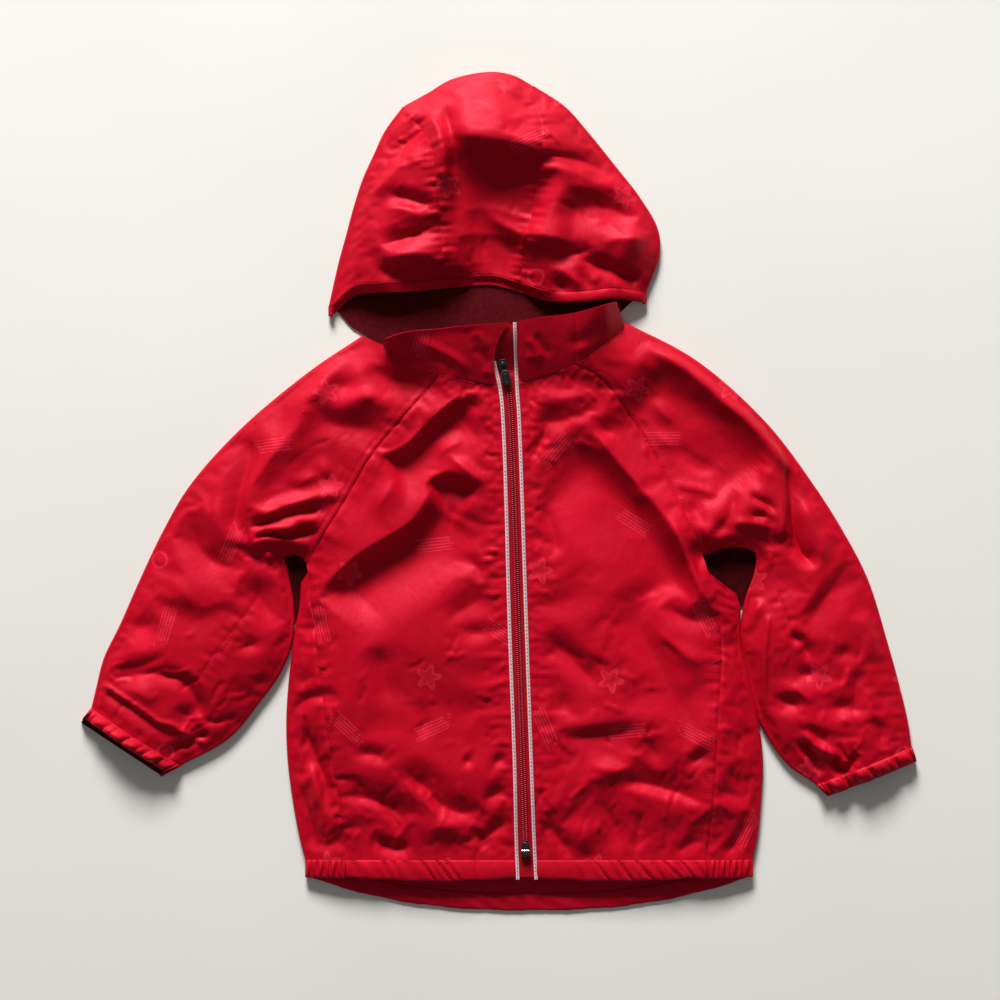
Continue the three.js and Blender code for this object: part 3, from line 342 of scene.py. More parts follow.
# Creases, given one by one: height, width, sharpness, skew (left side wider), then the line's points.
bodyCreases = [
    # wearer's right shoulder and chest
    (-5, 17, .2, 0, -110, 98, -80, 90, -52, 83, -36, 82),
    (4.5, 20, .6, -.3, -117, 116, -131, 97, -150, 72, -166, 45, -185, 22, -197, 2, -202, -22, -204, -36),
    (-5, 13, .5, 0, -204, 51, -198, 30, -204, 5, -209, -20, -206, -42),
    (4, 9, .6, 0, -197, -24, -178, -15, -158, -8, -140, -3, -120, -2),
    (-5.5, 7, .6, 0, -200, -29, -182, -22, -165, -17, -148, -14, -138, -8),
    (3.5, 6, .6, 0, -200, -33, -186, -30, -170, -30, -156, -28),
    (-5.5, 6, .6, 0, -197, -38, -185, -34, -170, -35, -155, -33, -140, -30),
    (5.5, 7, .7, 0, -201, -46, -190, -38, -180, -37, -165, -40, -150, -46),
    (5.5, 6.5, .4, 0, -190, -47, -182, -51, -175, -53, -179, -61),
    (-6, 17, .2, 0, -246, -14, -241, -40, -226, -56, -205, -62),
    (-5, 17, .2, 0, -197, -62, -189, -88, -178, -112), (3, 14, .4, 0, -228, 2, -222, -24, -211, -48),
    (2.5, 7, .6, 0, -112, 82, -99, 74, -88, 62), (-4.5, 13, .2, 0, -152, 62, -126, 53, -101, 50, -90, 41),
    (3, 11, .4, 0, -126, 70, -106, 75, -92, 74), (-3.5, 10, .3, 0, -142, 80, -128, 84, -108, 84),
    (2.4, 6, .6, 0, -143, 29, -138, 17, -133, 9), (2, 7, .4, 0, -163, 3, -151, 11, -139, 14),
    (-2, 8, .3, 0, -150, -4, -160, 2, -172, 4), (-4.5, 13, .3, 0, -62, 5, -42, 3, -22, -2, -8, -8),
    (2.6, 8, .8, 0, -41, 30, -28, 19, -8, 3), (2.5, 9, .5, 0, -24, 42, -38, 36, -52, 26),
    (-2.6, 8, .3, 0, -30, -47, -18, -60, -5, -68), (-2.5, 7, .4, 0, -12, 62, -22, 70, -30, 72),
    (2.5, 11, .4, 0, -80, 12, -92, -6, -100, -22), (-3.4, 11, .3, 0, -46, -104, -24, -91, -4, -80),
    (-2.8, 9, .3, 0, -34, -108, -18, -112, -4, -108),
    # wearer's left shoulder and chest
    (6, 19, .4, 0, 236, 4, 214, 42, 188, 66, 164, 88, 144, 105, 112, 124),
    (3, 20, .3, 0, 168, -94, 151, -53, 134, -23, 110, 6, 87, 33, 66, 60),
    (4.2, 9, .7, 0, 225, 24, 227, 0, 226, -20, 223, -42),
    (-6.5, 9, .7, 0, 229, 27, 232, 0, 234, -25, 240, -46, 254, -62),
    (3, 9, .5, 0, 243, -4, 250, -28, 263, -60), (2.2, 5, .9, 0, 138, 8, 150, 4, 163, 1, 176, -3),
    (-2.2, 4.5, .6, 0, 196, -2, 210, -8, 223, -15),
    (-3.6, 8, .4, 0, 187, 4, 186, -12, 180, -25, 166, -36), (2.5, 7, .6, 0, 176, -24, 160, -36),
    (2.2, 5, .6, 0, 183, -24, 200, -25, 217, -28), (-2.4, 4, .5, 0, 198, -19, 216, -18),
    (4.5, 7, .6, 0, 160, -37, 180, -40, 200, -45, 212, -52, 207, -66), (4, 6, .3, 0, 204, -57, 203, -69),
    (2, 8, .5, 0, 205, 15, 222, 14), (-2.5, 8, .3, 0, 140, 40, 156, 22, 176, 18),
    (2.4, 7, .6, 0, 124, 48, 133, 40, 142, 34), (3, 8, .5, 0, 124, 78, 130, 64, 141, 52),
    (-2.6, 8, .3, 0, 150, -4, 158, -18, 162, -30),
    (4.2, 12, .7, 0, 134, -14, 141, -30, 149, -54, 159, -76, 176, -102),
    (-3, 10, .3, 0, 72, 50, 86, 48, 98, 42), (-3.2, 11, .2, 0, 26, 60, 44, 56, 60, 62),
    (2.4, 12, .3, 0, 24, 76, 52, 74, 78, 80),
    (-4, 24, .1, .3, 94, -74, 107, -100, 124, -132, 142, -166, 168, -200),
    (-4.4, 12, .3, 0, 128, -90, 150, -100, 172, -110), (3, 10, .5, 0, 122, -106, 142, -124, 166, -142),
    (-3.8, 12, .3, 0, 34, -112, 58, -134, 84, -160), (-2.6, 9, .3, 0, 48, -156, 52, -170, 51, -184),
    (-2.4, 8, .3, 0, 34, -8, 42, -30, 48, -56), (-2, 6, .3, 0, 24, 24, 34, 40, 36, 52),
    # lower front and sides
    (-3.6, 14, .4, -.4, 46, -197, 76, -194, 114, -188), (-3, 10, .3, 0, 112, -196, 124, -210, 126, -222),
    (-4.2, 12, .5, .4, 94, -230, 122, -234, 148, -242, 168, -250),
    (-3.6, 12, .3, 0, 74, -242, 89, -260, 98, -288), (-3, 7, .5, 0, 34, -260, 46, -275, 60, -292),
    (-2.4, 7, .4, 0, 108, -252, 112, -270, 108, -288), (-2.4, 7, .5, 0, 140, -291, 150, -282, 166, -276),
    (-3.4, 8, .5, 0, 148, -218, 158, -212, 170, -206), (-3, 8, .5, 0, 168, -234, 182, -240, 200, -248),
    (-3, 9, .4, 0, 180, -216, 188, -230, 198, -242), (-3, 8, .5, 0, 178, -294, 190, -278, 202, -260),
    (3, 11, .5, 0, 68, -216, 92, -222, 110, -214), (3.4, 14, .4, 0, 60, -256, 66, -272, 74, -290),
    (-3.2, 12, .3, 0, -96, -118, -91, -148, -81, -176), (-2.2, 8, .3, 0, -66, -164, -58, -182, -62, -200),
    (-4.6, 13, .4, .4, -78, -220, -60, -234, -46, -250, -28, -256, -10, -250),
    (-3.4, 9, .4, 0, -17, -248, -2, -240, 10, -234),
    (-3.8, 11, .5, .4, -130, -242, -110, -243, -90, -250, -72, -266),
    (-3.4, 8, .5, 0, -104, -276, -82, -285, -64, -282), (-2.8, 8, .4, 0, -24, -284, -6, -272, 10, -258),
    (3, 12, .4, 0, -66, -270, -40, -266, -20, -268), (-2.8, 8, .4, 0, -118, -210, -100, -208, -84, -216),
    (-2.4, 6, .4, 0, -32, -212, -18, -216), (-2.4, 7, .4, 0, -8, -216, 9, -211),
    (-4.2, 10, .4, 0, -157, -184, -150, -202, -140, -228, -134, -258),
    (-3, 9, .4, 0, -160, -232, -154, -254, -147, -290),
    (-2.6, 7, .5, 0, -166, -156, -152, -150, -142, -141),
    (-2.4, 7, .5, 0, -168, -176, -150, -164, -124, -161),
    (3, 9, .5, 0, -150, -214, -146, -232, -140, -256),
    (-2.6, 7, .5, 0, -144, -286, -130, -280, -118, -284),
    (-3, 9, .3, 0, -156, -118, -146, -108, -136, -98),
    # wearer's right sleeve
    (-3, 9, .4, 0, -308, -141, -284, -138, -262, -129),
    (-3.6, 9, .4, 0, -310, -149, -288, -146, -265, -146, -250, -152, -241, -166, -237, -184),
    (2.6, 3.4, 1, 0, -319, -152, -300, -163, -280, -176, -271, -183, -262, -185, -246, -195, -230, -203),
    (-1.5, 7, .6, 0, -317, -158, -298, -169, -276, -185, -254, -198),
    (-3.2, 9, .3, 0, -260, -172, -248, -179, -240, -187),
    (-3, 6, .5, 0, -198, -157, -188, -152, -178, -150),
    (-2.4, 5, .4, 0, -178, -116, -170, -125, -173, -140),
    (-2.6, 8, .4, 0, -214, -120, -198, -122, -186, -116),
    (-4.5, 7, .5, 0, -236, -201, -252, -204, -266, -211),
    (-3, 5, .5, 0, -250, -196, -240, -196, -230, -192),
    (2.5, 6, .6, 0, -262, -205, -248, -208, -236, -207),
    (-2.6, 12, .2, 0, -300, -106, -284, -108, -268, -100),
    (2.6, 14, .3, 0, -266, -66, -250, -80, -236, -102), (2, 9, .4, 0, -298, -158, -286, -160, -270, -170),
    # wearer's left sleeve
    (-2.5, 13, .3, .3, 285, -52, 270, -71, 256, -91, 242, -112),
    (-4, 6, .5, 0, 231, -110, 240, -119, 246, -129, 243, -136), (2.5, 5, .5, 0, 234, -122, 246, -124),
    (-3.2, 7, .4, 0, 234, -148, 244, -145, 256, -147), (-5, 11, .4, 0, 218, -163, 234, -168, 248, -174),
    (3, 9, .5, 0, 222, -156, 238, -160, 252, -170), (-3.2, 8, .4, 0, 245, -183, 257, -196, 266, -188),
    (-3.4, 9, .4, 0, 260, -171, 274, -171, 284, -164), (-2.6, 8, .4, 0, 266, -134, 274, -129, 284, -124),
    (-2.6, 7, .4, 0, 286, -138, 284, -162, 282, -184), (-2.6, 7, .4, 0, 296, -178, 304, -190, 303, -206),
    (-5.4, 6, .5, 0, 239, -197, 250, -212, 259, -228), (-5, 5.5, .5, 0, 264, -209, 272, -222, 279, -217),
    (-4, 5, .5, 0, 286, -207, 279, -220, 270, -228), (2.8, 5, .6, 0, 239, -189, 255, -203, 272, -213),
    (2.6, 4, .6, 0, 215, -96, 212, -130, 211, -180), (3.2, 7, .6, 0, 213, -86, 201, -99, 192, -113),
    (3, 6, .5, 0, 193, -82, 195, -98, 192, -112), (2.4, 14, .3, 0, 284, -84, 296, -112, 300, -142)]
# Edges of broad plates: depth, width of the fall, crest, then the line's points with the fall on its left.
bodySteps = [
    (7, 14, 1.2, -26, 81, -48, 64, -63, 49, -74, 38, -98, 26),
    (5.5, 13, .8, -14, 4, -28, 11, -43, 15, -62, 5),
    (10, 19, 1.5, -52, 8, -61, -12, -73, -26, -90, -36, -109, -48, -124, -60, -146, -84),
    (9.5, 32, 1.2, 234, 12, 213, 41, 187, 64, 163, 86, 143, 103, 116, 120),
    (8, 21, 1, 168, -94, 151, -53, 134, -23, 110, 6, 87, 33, 66, 60)]
for row in bodyCreases:
    addCrease(body, *row)
for row in bodySteps:
    addStep(body, *row)

# Short crisp wrinkles scattered where the cloth is gathered or crushed.
crumpleColumns = "x0 x1 y0 y1 angle spread long count"
crumples = tableOf(crumpleColumns, [
    (-118, 8, -290, -222, 95, 45, 17, 34), (32, 164, -290, -222, 88, 45, 17, 34),
    (-164, -126, -290, -110, 70, 35, 15, 30), (172, 206, -290, -120, 115, 35, 13, 26),
    (-14, 6, -215, 60, 12, 28, 11, 26), (26, 44, -215, 80, 168, 28, 11, 26),
    (-112, -12, -215, -110, 60, 60, 14, 14), (48, 160, -215, -110, 120, 60, 14, 14),
    (-312, -205, -200, -110, 35, 40, 16, 26), (226, 318, -222, -100, 110, 45, 15, 26),
    (-204, -142, -62, 6, 8, 22, 17, 14), (166, 226, -62, 6, 172, 22, 17, 14),
    (-200, -60, 10, 110, 45, 40, 13, 14), (60, 215, 10, 118, 140, 40, 13, 14)])
hoodCrumples = tableOf(crumpleColumns, [
    (-112, -46, 176, 290, 15, 40, 13, 24), (24, 118, 176, 290, 165, 40, 13, 26),
    (-40, 22, 180, 320, 90, 70, 12, 12), (36, 112, 163, 186, 120, 30, 9, 12)])


def crumple(field, table, seed):
    # creases at random places and turns within each row of the table
    own = np.random.default_rng(seed)
    for x0, x1, y0, y1, angle, spread, long, count in np.stack(list(table.values()), axis=1):
        for _ in range(int(count)):
            x, y = own.uniform(x0, x1), own.uniform(y0, y1)
            turn, length = math.radians(angle + spread * own.uniform(-1, 1)), long * own.uniform(.6, 1.5)
            way, bow = np.array([math.cos(turn), math.sin(turn)]), own.uniform(-.18, .18) * length
            middle = np.array([x, y]) + bow * np.array([-way[1], way[0]])
            ends = (x, y) - way * length / 2, middle, (x, y) + way * length / 2
            height = own.uniform(.45, 1.15) * own.choice([-1, 1])
            addCrease(field, height, own.uniform(1.9, 3.2), 1, own.uniform(-.5, .5), *np.concatenate(ends))


crumple(body, crumples, 61)
sleeveSeam = {
    "right": smoothLine([(-190, -80), (-205, -102), (-225, -128), (-241, -152)]),
    "left": smoothLine([(221, -78), (227, -94), (232, -113)])}
for i, (hand, sign) in enumerate(signs.items()):
    zipY = np.linspace(hemY, 88, 120)
    zipLine = np.stack([zipX(hand, zipY) + sign * 8, zipY], axis=1)
    addSeam(body, raglanLine[hand], .9, 1.3, 1.0, 7, 20 + i)
    addSeam(body, sideLine[seamOf[hand]], .9, 1.3, .9, 7, 30 + i)
    addSeam(body, sleeveSeam[hand], .7, 1.5, 1.0, 7, 40 + i)
    addSeam(body, zipLine, .45, 1.3, .45, 7, 50 + i, (6, 9, 13))
    addSeam(body, offsetLine(raglanLine[hand], 5.5 * -sign), .3, 1.1, 0, 4, 60 + i)
body["z"] = bodyForm + body["z"] * nearFold
print("body creases", len(bodyCreases))

# The hood: its sides rise from the fold, its centre stays low at the brim and steepens towards the crown.
hoodSize = {"field": (-150, 145, 90, 345, 1.3), "sideLow": 0.72, "sideHigh": 1.05, "sideFrom": 152,
            "sideFade": 60, "centreLow": 0.08, "centreHigh": 1.3, "centreFrom": 158,
            "centreFade": 114, "centrePower": 1.15, "centreX": 2, "centreHalf": 58}
hood = newField(*hoodSize["field"])
x, y = hood["x"], hood["y"]
hoodFolds = [line[::12] for line in (hoodEdge["right", "fold"], crown, hoodEdge["left", "fold"])]
distance = farFrom(hoodFolds, hood)
sideSlope = lerp(hoodSize["sideLow"], hoodSize["sideHigh"],
                 smoothStep((y - hoodSize["sideFrom"]) / hoodSize["sideFade"]))
centreRise = np.clip((y - hoodSize["centreFrom"]) / hoodSize["centreFade"], 0, 1) ** hoodSize["centrePower"]
centreSlope = lerp(hoodSize["centreLow"], hoodSize["centreHigh"], centreRise)
slope = lerp(sideSlope, centreSlope, np.exp(-((x - hoodSize["centreX"]) / hoodSize["centreHalf"]) ** 2))
hoodForm = ground + 2 * roll + puff(distance, cloth["hoodHeight"], cloth["hoodReach"]) * slope
hoodCreases = [
    (2.2, 18, .6, 0, -52, 296, -30, 289, 0, 283, 30, 274, 60, 264, 92, 248, 122, 228),
    (-4, 30, .1, 0, -24, 272, -12, 240, -8, 210, -2, 176), (-3, 22, .2, 0, -16, 268, 8, 258, 26, 240),
    (4, 9, .7, 0, -60, 304, -50, 290, -46, 278, -43, 256, -46, 238),
    (-5, 9, .6, 0, -45, 307, -38, 286, -36, 266, -38, 246),
    (-5, 15, .3, 0, -104, 264, -84, 274, -62, 284, -50, 292),
    (3, 11, .5, 0, -54, 269, -74, 262, -90, 246, -104, 232),
    (-4.6, 9, .5, 0, -90, 237, -74, 233, -56, 228, -46, 229),
    (2.6, 9, .5, 0, -96, 222, -76, 224, -58, 217),
    (-5.5, 11, .5, 0, -97, 194, -76, 201, -58, 208, -38, 216),
    (4.5, 13, .3, 0, -100, 182, -72, 189, -46, 187, -32, 182),
    (-5, 14, .3, 0, -106, 178, -72, 171, -38, 170, -6, 176),
    (3.4, 13, .3, 0, -106, 244, -112, 216, -117, 190, -110, 168),
    (3, 9, .5, 0, 24, 252, 44, 256, 64, 252), (-4.8, 11, .4, 0, 22, 267, 45, 266, 70, 262, 96, 248),
    (5, 14, .5, .2, -16, 232, -2, 216, 18, 206, 40, 202, 64, 196),
    (-3.6, 9, .4, 0, 36, 192, 58, 189, 78, 194), (5.5, 16, .4, 0, 74, 194, 94, 200, 114, 200, 125, 190),
    (-6.5, 20, .2, 0, 38, 216, 74, 228, 100, 222, 114, 208), (3, 8, .5, 0, 106, 236, 118, 216, 125, 198),
    (-5.5, 9, .6, 0, 62, 186, 80, 180, 100, 172, 120, 165), (3.2, 8, .5, 0, 38, 180, 54, 173, 72, 160),
    (-3.4, 7, .5, 0, 42, 170, 52, 162, 54, 156), (-2.8, 6, .5, 0, 62, 178, 68, 168, 72, 158),
    (-3.4, 9, .6, 0, -12, 335, 5, 318, 20, 308, 34, 300), (2.6, 12, .5, 0, -24, 318, -2, 300, 18, 288),
    (-2.6, 8, .4, 0, 40, 300, 56, 290, 66, 276), (-3, 9, .4, 0, -74, 300, -64, 292, -60, 282)]
hoodSteps = [
    (9.5, 28, 1.2, 60, 258, 30, 270, 0, 277, -24, 281, -44, 284),
    (4, 22, .6, 44, 194, 8, 204, -20, 206, -44, 199),
    (3, 20, .6, 30, 214, 8, 222, -14, 226, -34, 222),
    (4.5, 24, .6, 118, 222, 96, 232, 76, 240, 50, 244)]
for row in hoodCreases:
    addCrease(hood, *row)
crumple(hood, hoodCrumples, 62)
for i, hand in enumerate(signs):
    addSeam(hood, hoodEdge[hand, "top"], .5, 1.4, 1.5, 8, 70 + i, (6, 8.5, 12))
for row in hoodSteps:
    addStep(hood, *row)
hood["z"] = np.maximum(hoodForm + hood["z"] * smoothStep((distance - roll) / 20), ground + 4)
print("hood creases", len(hoodCreases))


def insideOf(outline, x, y):
    # even-odd test
    inside = np.zeros(x.shape, bool)
    for (ax, ay), (bx, by) in zip(outline, np.roll(outline, -1, axis=0)):
        crosses = (ay > y) != (by > y)
        if ay != by:
            inside ^= crosses & (x < (bx - ax) * (y - ay) / (by - ay) + ax)
    return inside


settle = {"pitch": 3.6, "frames": 32, "growth": -0.009, "hold": 0.012, "stiff": 14.0, "bend": 5.0,
          "mass": 0.12, "quality": 6, "unevenness": 0.06, "most": 7.0}


def settled(field, outlines, heldAt, seed):
    # lets the upper layer relax as cloth with a little spare width, held at its edges and seams;
    # returns how far each place moved, as three height fields
    highY, highX = (field["pitch"] * (count - 1) for count in field["z"].shape)
    moved = [newField(field["x0"], field["x0"] + highX, field["y0"], field["y0"] + highY, settle["pitch"])
             for _ in range(3)]
    x, y = moved[0]["x"], moved[0]["y"]
    inside = np.zeros(x.shape, bool)
    for outline in outlines:
        inside |= insideOf(outline, x, y)
    rows, columns = x.shape
    own = np.random.default_rng(seed)
    start = np.stack([x, y, heightAt(field, x, y) + own.normal(0, settle["unevenness"], x.shape)], axis=-1)
    number = np.full(x.shape, -1)
    number[inside] = np.arange(inside.sum())
    faces = []
    for j in range(rows - 1):
        for i in range(columns - 1):
            if inside[j:j + 2, i:i + 2].all():
                a, b, c, d = number[j, i], number[j, i + 1], number[j + 1, i + 1], number[j + 1, i]
                faces += [(a, b, c), (a, c, d)] if (i + j) % 2 else [(a, b, d), (b, c, d)]
    sheet = meshObject("settling", start[inside], faces, clothRed)
    rim = np.ones(x.shape, bool)
    rim[1:-1, 1:-1] = ~(inside[:-2, 1:-1] & inside[2:, 1:-1] & inside[1:-1, :-2] & inside[1:-1, 2:])
    weight = np.maximum(np.maximum(heldAt(x, y), rim), settle["hold"])[inside]
    group = sheet.vertex_groups.new(name="held")
    for i, w in enumerate(weight):
        group.add([i], float(min(w, 1)), "REPLACE")
    solver = sheet.modifiers.new("settle", "CLOTH")
    setup = solver.settings
    setup.quality = settle["quality"]
    setup.mass = settle["mass"]
    setup.tension_stiffness = setup.compression_stiffness = setup.shear_stiffness = settle["stiff"]
    setup.bending_stiffness = settle["bend"]
    setup.shrink_min = settle["growth"]
    setup.vertex_group_mass = "held"
    setup.pin_stiffness = 1.0
    setup.effector_weights.gravity = 0
    solver.collision_settings.use_collision = False
    solver.point_cache.frame_end = settle["frames"] + 1
    for frameNumber in range(1, settle["frames"] + 1):
        bpy.context.scene.frame_set(frameNumber)
    result = sheet.evaluated_get(bpy.context.evaluated_depsgraph_get()).data
    ends = np.empty(len(result.vertices) * 3)
    result.vertices.foreach_get("co", ends)
    move = ends.reshape(-1, 3) / mm - start[inside]
    far = np.linalg.norm(move, axis=1, keepdims=True)
    move *= np.minimum(1, settle["most"] / np.maximum(far, 1e-6))
    print(f"settled {len(move)} points, furthest {far.max():.2f} mm, mean {far.mean():.2f} mm")
    for k in range(3):
        moved[k]["z"][inside] = move[:, k]
    bpy.context.scene.frame_set(1)
    bpy.data.objects.remove(sheet)
    return moved


def bodyTop(x, y):
    return heightAt(body, x, y)


def hoodTop(x, y):
    return heightAt(hood, x, y)


def surface(field, moved, lowest, x, y):
    # places on the upper layer after it has settled
    shift = [heightAt(part, x, y) for part in moved]
    return stack(x + shift[0], y + shift[1], np.maximum(heightAt(field, x, y) + shift[2], lowest))


def bodySurface(x, y):
    return surface(body, bodyMoved, ground + 1.2, x, y)


def hoodSurface(x, y):
    return surface(hood, hoodMoved, ground + 2.5, x, y)


def brimY(x):
    return columnAt(brimRows, "x", "y", x)


# Panels: each maps (u, v) to millimetres.

def foldedRow(s, top, fold, under, topHeight, onTop=None):
    # from the upper layer (0..1), round the fold (1..2), back along the table (2..3)
    inward, underward = top - fold, under - fold
    unit = lambda v: v / np.maximum(np.linalg.norm(v, axis=-1, keepdims=True), 1e-6)
    rollTop, rollUnder = fold + roll * unit(inward), fold + roll * unit(underward)
    s = s[..., None]
    over = lerp(top, rollTop, np.clip(s, 0, 1))
    below = lerp(rollUnder, under, np.clip(s - 2, 0, 1))
    angle = (np.clip(s, 1, 2) - 1) * math.pi
    turning = lerp(fold, np.where(s < 1.5, rollTop, rollUnder), 1 - np.sin(angle))
    plan = np.where(s <= 1, over, np.where(s >= 2, below, turning))
    lift = topHeight(rollTop[..., 0], rollTop[..., 1]) - ground
    z = ground + lift * (1 + np.cos(angle[..., 0])) / 2
    z = np.where(s[..., 0] <= 1, topHeight(over[..., 0], over[..., 1]), np.where(s[..., 0] >= 2, ground, z))
    points = stack(plan[..., 0], plan[..., 1], z)
    return np.where(s <= 1, onTop(over[..., 0], over[..., 1]), points) if onTop else points


def frontAt(hand):
    # u runs from the zip to the side, v up the side seam and then up the raglan
    sign, line, seam = signs[hand], raglanLine[hand], seamOf[hand]
    low = line[0]
    atArm = columnAt(sideRows, "y", seam, cloth["underarmY"])

    def at(u, v):
        seamY = lerp(hemY - cloth["tuck"], low[1], np.minimum(v, 1))
        seamX = columnAt(sideRows, "y", seam, np.minimum(seamY, cloth["underarmY"]))
        rest = np.clip((seamY - cloth["underarmY"]) / (low[1] - cloth["underarmY"]), 0, 1)
        seamX = np.where(seamY > cloth["underarmY"], lerp(atArm, low[0], rest), seamX)
        upper = along(line, v - 1)
        outerX = np.where(v <= 1, seamX, upper[..., 0]) - sign * seamHalf
        outerY = np.where(v <= 1, seamY, upper[..., 1])
        innerY = np.where(v <= 1, seamY, lerp(low[1], neckTop[hand], v - 1))
        innerX = zipX(hand, innerY) + sign * 1.2
        x, y = lerp(innerX, outerX, u), lerp(innerY, outerY, u)
        return bodySurface(x, y)
    return at


backMiddle = 24


def tailDrop(x):
    # how far the back's hem falls below the front's
    left = columnAt(sideRows, "y", "foldLeft", hemY)
    right = columnAt(sideRows, "y", "foldRight", hemY)
    middle, half = (left + right) / 2, (left - right) / 2
    return cloth["tail"] * (1 - np.minimum(np.abs((x - middle) / half), 1) ** cloth["tailRound"])


def backRow(s, y, drop):
    # 0..3 from the right front seam to the middle of the back, 3..6 on to the left front seam
    s, y, drop = np.broadcast_arrays(s, y, drop)
    rightSide = s <= 3
    local = np.where(rightSide, s, 6 - s)
    pick = lambda name: np.where(rightSide, columnAt(sideRows, "y", name + "Right", y),
                                 columnAt(sideRows, "y", name + "Left", y))
    sign = np.where(rightSide, -1, 1)
    flat = lambda x: stack(x, y, 0)
    seam, fold = flat(pick("seam") + sign * seamHalf), flat(pick("fold"))
    points = foldedRow(local, seam, fold, flat(backMiddle + 0 * y), bodyTop, bodySurface)
    points[..., 1] -= np.where(local > 2, drop * tailDrop(points[..., 0]), 0)
    return points


def backAt(u, v):
    y = lerp(hemY - cloth["tuck"], cloth["underarmY"], v)
    p = backRow(u, y, 1 - smoothStep(v / 0.5))
    for seam, sign, fall in (("seamRight", -1, 1.5), ("seamLeft", 1, .75)):
        # the side's upper edge slants down from the front seam to the fold
        past = np.maximum(sign * (p[..., 0] - columnAt(sideRows, "y", seam, y)), 0)
        mine = ((u < 2) if sign < 0 else (u > 4)) & (v > .8)
        p[..., 1] -= np.where(mine, fall * past * smoothStep((v - .8) / .2), 0)
    return p


def yokeAt(u, v):
    right, left = along(raglanLine["right"], v), along(raglanLine["left"], v)
    x = lerp(right[..., 0] + .2, left[..., 0] - .2, u)
    y = lerp(right[..., 1], left[..., 1], u)
    return stack(x, np.where(v < .001, cloth["underarmY"], y), ground)


def gussetAt(hand):
    # the back's cloth seen in the gap under an arm, drawn dark with painted shade
    x0, x1, y0, y1 = {"right": (-176, -150, -104, -44), "left": (146, 207, -92, -38)}[hand]
    return lambda u, v: stack(lerp(x0, x1, u), lerp(y0, y1, v), ground + .7 + 0 * u)


def sleeveAt(hand):
    # u goes round the tube, 0 to 3 on top and 3 to 6 beneath; v runs from raglan to cuff
    outer, inner = sleeveEdge[hand, "outer"], sleeveEdge[hand, "inner"]
    line = raglanLine[hand]
    edge0 = roll / np.hypot(*(outer[0] - inner[0]))
    neckShare = lerp(edge0, 1 - edge0, cloth["neckPart"])

    def plan(share, v):
        o, i = along(outer, v), along(inner, v)
        share, v = share[..., None], v[..., None]
        onNeck = lerp(outer[0], line[-1], np.clip(share / neckShare, 0, 1))
        onSeam = along(line, 1 - (share[..., 0] - neckShare) / (1 - neckShare))
        bow = np.where(share < neckShare, onNeck, onSeam) - lerp(outer[0], inner[0], share)
        return lerp(o, i, share) + bow * (1 - np.clip(v / 0.42, 0, 1)) ** 1.6

    def at(u, v):
        turn = np.mod(u, 6)
        over = turn <= 3
        local = np.where(over, turn, 6 - turn)
        edge = roll / np.linalg.norm(along(outer, v) - along(inner, v), axis=-1)
        angle = np.where(local < 1, local, np.where(local > 2, 3 - local, 1)) * math.pi / 2
        inset = edge * (1 - np.cos(angle))
        share = lerp(edge, 1 - edge, np.clip(local - 1, 0, 1))
        share = np.where(local < 1, inset, np.where(local > 2, 1 - inset, share))
        p = plan(share, v)
        rim = plan(np.where(local < 1, edge, 1 - edge), v)
        lift = (bodyTop(rim[..., 0], rim[..., 1]) - ground) / 2
        rolled = ground + lift * (1 + np.where(over, 1, -1) * np.sin(angle))
        flat = (local >= 1) & (local <= 2)
        points = stack(p[..., 0], p[..., 1], np.where(flat, ground, rolled))
        return np.where((flat & over)[..., None], bodySurface(p[..., 0], p[..., 1]), points)
    return at


def hoodSideAt(hand, inset):
    # u runs from the centre seam over the fold and back beneath, v from crown to brim
    sign, lowest = signs[hand], smoothLine(nape[hand])
    fold, top, under = (hoodEdge[hand, name] for name in ("fold", "top", "under"))
    level = lambda x, y: ground + 2 * roll + 0 * x

    def at(u, v):
        u, v = np.broadcast_arrays(u, v)
        flat = lambda p, dx: stack(p[..., 0] + dx, p[..., 1], 0)
        p = foldedRow(u, flat(along(top, v), sign * seamHalf), flat(along(fold, v), 0),
                      flat(along(under, v), sign * seamHalf), level)
        fade = smoothStep((v - 0.55) / 0.45)
        chord = lerp(top[-1], fold[-1], np.clip(u, 0, 1)[..., None])
        p[..., 1] += np.where(u < 1, (brimY(chord[..., 0]) - chord[..., 1]) * fade, 0)
        t = np.clip(u - 2, 0, 1)
        shift = (along(lowest, t) - lerp(fold[-1], under[-1], t[..., None])) * fade[..., None]
        p[..., :2] += np.where((u > 2)[..., None], shift, 0)
        p[..., 2] += np.where(u > 2, .8 * fade, 0)
        bandShare = 1 - smoothStep((u - 2) / 0.25)
        p[..., 1] += inset * smoothStep((v - 0.5) / 0.5) * bandShare
        return np.where((u < 1)[..., None], hoodSurface(p[..., 0], p[..., 1]), p)
    return at


